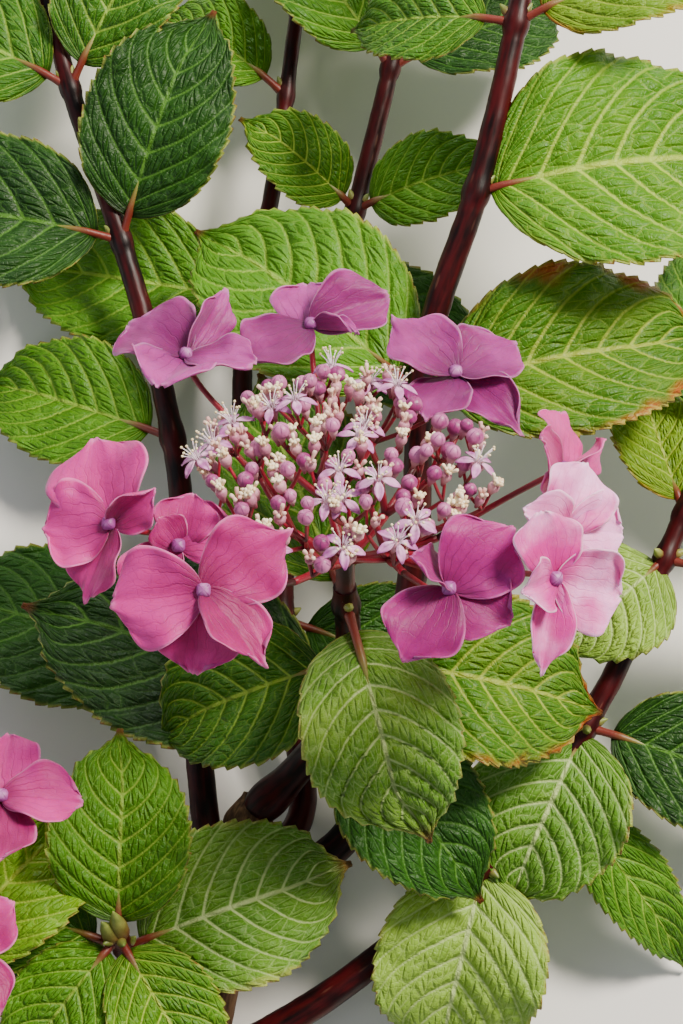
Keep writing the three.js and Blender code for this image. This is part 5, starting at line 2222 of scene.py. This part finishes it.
    def build(self) -> None:
        """Builds and dresses both flower heads."""
        heads = {"main": self.main_florets(), "second": self.second_florets()}
        for name, florets in heads.items():
            self.build_head(name, florets)
        finishes = {
            "rays": RAY_FINISH,
            "necks": NECK_FINISH,
            "cups": CUP_FINISH,
            "crowns": CROWN_FINISH,
            "buds": BUD_FINISH,
            "petals": PETAL_FINISH,
            "stamens": STAMEN_FINISH,
            "anthers": ANTHER_FINISH,
            "styles": STYLE_FINISH,
            "eyes": EYE_FINISH,
        }
        for kind, finish in finishes.items():
            piece = self.bags[kind].make(kind, self.origin, [finish.make()])
            if kind == "petals":
                finish_with(piece, "SOLIDIFY", thickness=self.petal.thick_mm * MM, offset=0.0)
            nodes = [f"flowers_{name}" for name in heads] if kind == "rays" else []
            dress(piece, nodes)
        for tone in Tone:
            finish = SEPAL_FINISHES[tone].make()
            piece = self.bags[f"sepals_{tone.value}"].make(f"sepals_{tone.value}", self.origin, [finish])
            finish_with(piece, "SOLIDIFY", thickness=self.fan.thick_mm * MM, offset=0.0)
            nodes = []
            for name, florets in heads.items():
                nodes += [f"floret_{name}_{k}" for k, f in enumerate(florets, 1) if f[2].tone is tone]
            dress(piece, nodes)


def nearest(point: Array, others: Sequence[Array]) -> Array:
    """Returns the one of some points that is nearest to another."""
    return min(others, key=lambda other: float(np.linalg.norm(point - other)))


def turned(vector: Array, axis: Array, angle: float) -> Array:
    """Turns a vector about an axis.

    Args:
        vector: The vector.
        axis: The direction of the axis.
        angle: How far it turns, in radians.

    Returns:
        The turned vector.
    """
    along = axis * vector.dot(axis)
    rest = vector - along
    return along + rest * math.cos(angle) + np.cross(axis, rest) * math.sin(angle)


# The studio


@dataclass(frozen=True)
class View:
    """The camera of the photograph: it looks down at 75 degrees above the horizon, 0.62 m from the bloom."""

    place_mm: Triple = (-0.814, -173.272, 720.443)
    lens_mm: float = 93.727
    sensor_mm: float = 36.0
    nearest_m: float = 0.01

    def build(self, origin: Array) -> None:
        """Adds the camera.

        Args:
            origin: The plan's own origin in the frame, in millimetres.
        """
        place = (np.array(self.place_mm) + origin) * MM
        bpy.ops.object.camera_add(location=tuple(place), rotation=(math.pi / 2 - CAMERA_RISE, 0, 0))
        camera = bpy.context.active_object
        camera.data.lens = self.lens_mm
        camera.data.sensor_width = self.sensor_mm
        camera.data.clip_start = self.nearest_m
        bpy.context.scene.camera = camera


@dataclass(frozen=True)
class Lamp:
    """One soft square lamp that shines at the middle of the branch."""

    name: str
    place: Triple
    size: float
    watts: float
    tint: str = "#ffffff"
    aim: Triple = (0.0, 0.0, 0.08)

    def build(self) -> None:
        """Adds the lamp."""
        bpy.ops.object.light_add(type="AREA", location=self.place)
        lamp = bpy.context.active_object
        lamp.name = self.name
        lamp.data.shape = "SQUARE"
        lamp.data.size = self.size
        lamp.data.energy = self.watts
        lamp.data.color = colour(self.tint)[:3]
        aim = np.array(self.aim) - np.array(self.place)
        lamp.rotation_mode = "QUATERNION"
        lamp.rotation_quaternion = Vector(tuple(aim)).to_track_quat("-Z", "Y")


@dataclass
class Studio:
    """The pale floor, the soft lamps, the sky and the camera."""

    origin: Array
    floor_m: float = 40.0
    sky: str = "#f2f4f7"
    sky_strength: float = 0.34
    lamps: tuple[Lamp, ...] = (
        Lamp("key_lamp", (0.85, 0.6, 1.3), 0.4, 58.0, "#fff4e6"),
        Lamp("fill_lamp", (-1.4, -0.8, 1.2), 1.6, 9.0, "#eaf1ff"),
        Lamp("rim_lamp", (-0.5, 1.6, 0.8), 0.8, 12.0),
    )
    view: View = View()

    def build(self) -> None:
        """Adds the floor, lamps, sky and camera."""
        bpy.ops.mesh.primitive_plane_add(size=self.floor_m)
        floor = bpy.context.active_object
        floor.name = "floor"
        floor.data.materials.append(FLOOR_FINISH.make())
        for lamp in self.lamps:
            lamp.build()
        world = bpy.data.worlds.new("studio")
        world.use_nodes = True
        background = world.node_tree.nodes["Background"]
        background.inputs["Color"].default_value = colour(self.sky)
        background.inputs["Strength"].default_value = self.sky_strength
        bpy.context.scene.world = world
        self.view.build(self.origin)


def main() -> None:
    """Builds the branch round the frame, and the studio round the branch."""
    logging.basicConfig(level=logging.INFO, format="%(name)s: %(message)s")
    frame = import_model()
    cut_end = next(m for m in frame["record"]["mounts"] if m["name"] == "cut_end")
    origin = np.array(cut_end["pos_m"]) / MM - np.array(STEMS["cane"].through[0])
    Studio(origin).build()
    Wood(origin).build()
    Foliage(origin).build()
    FlowerHeads(origin).build()


if __name__ == "__main__":
    main()
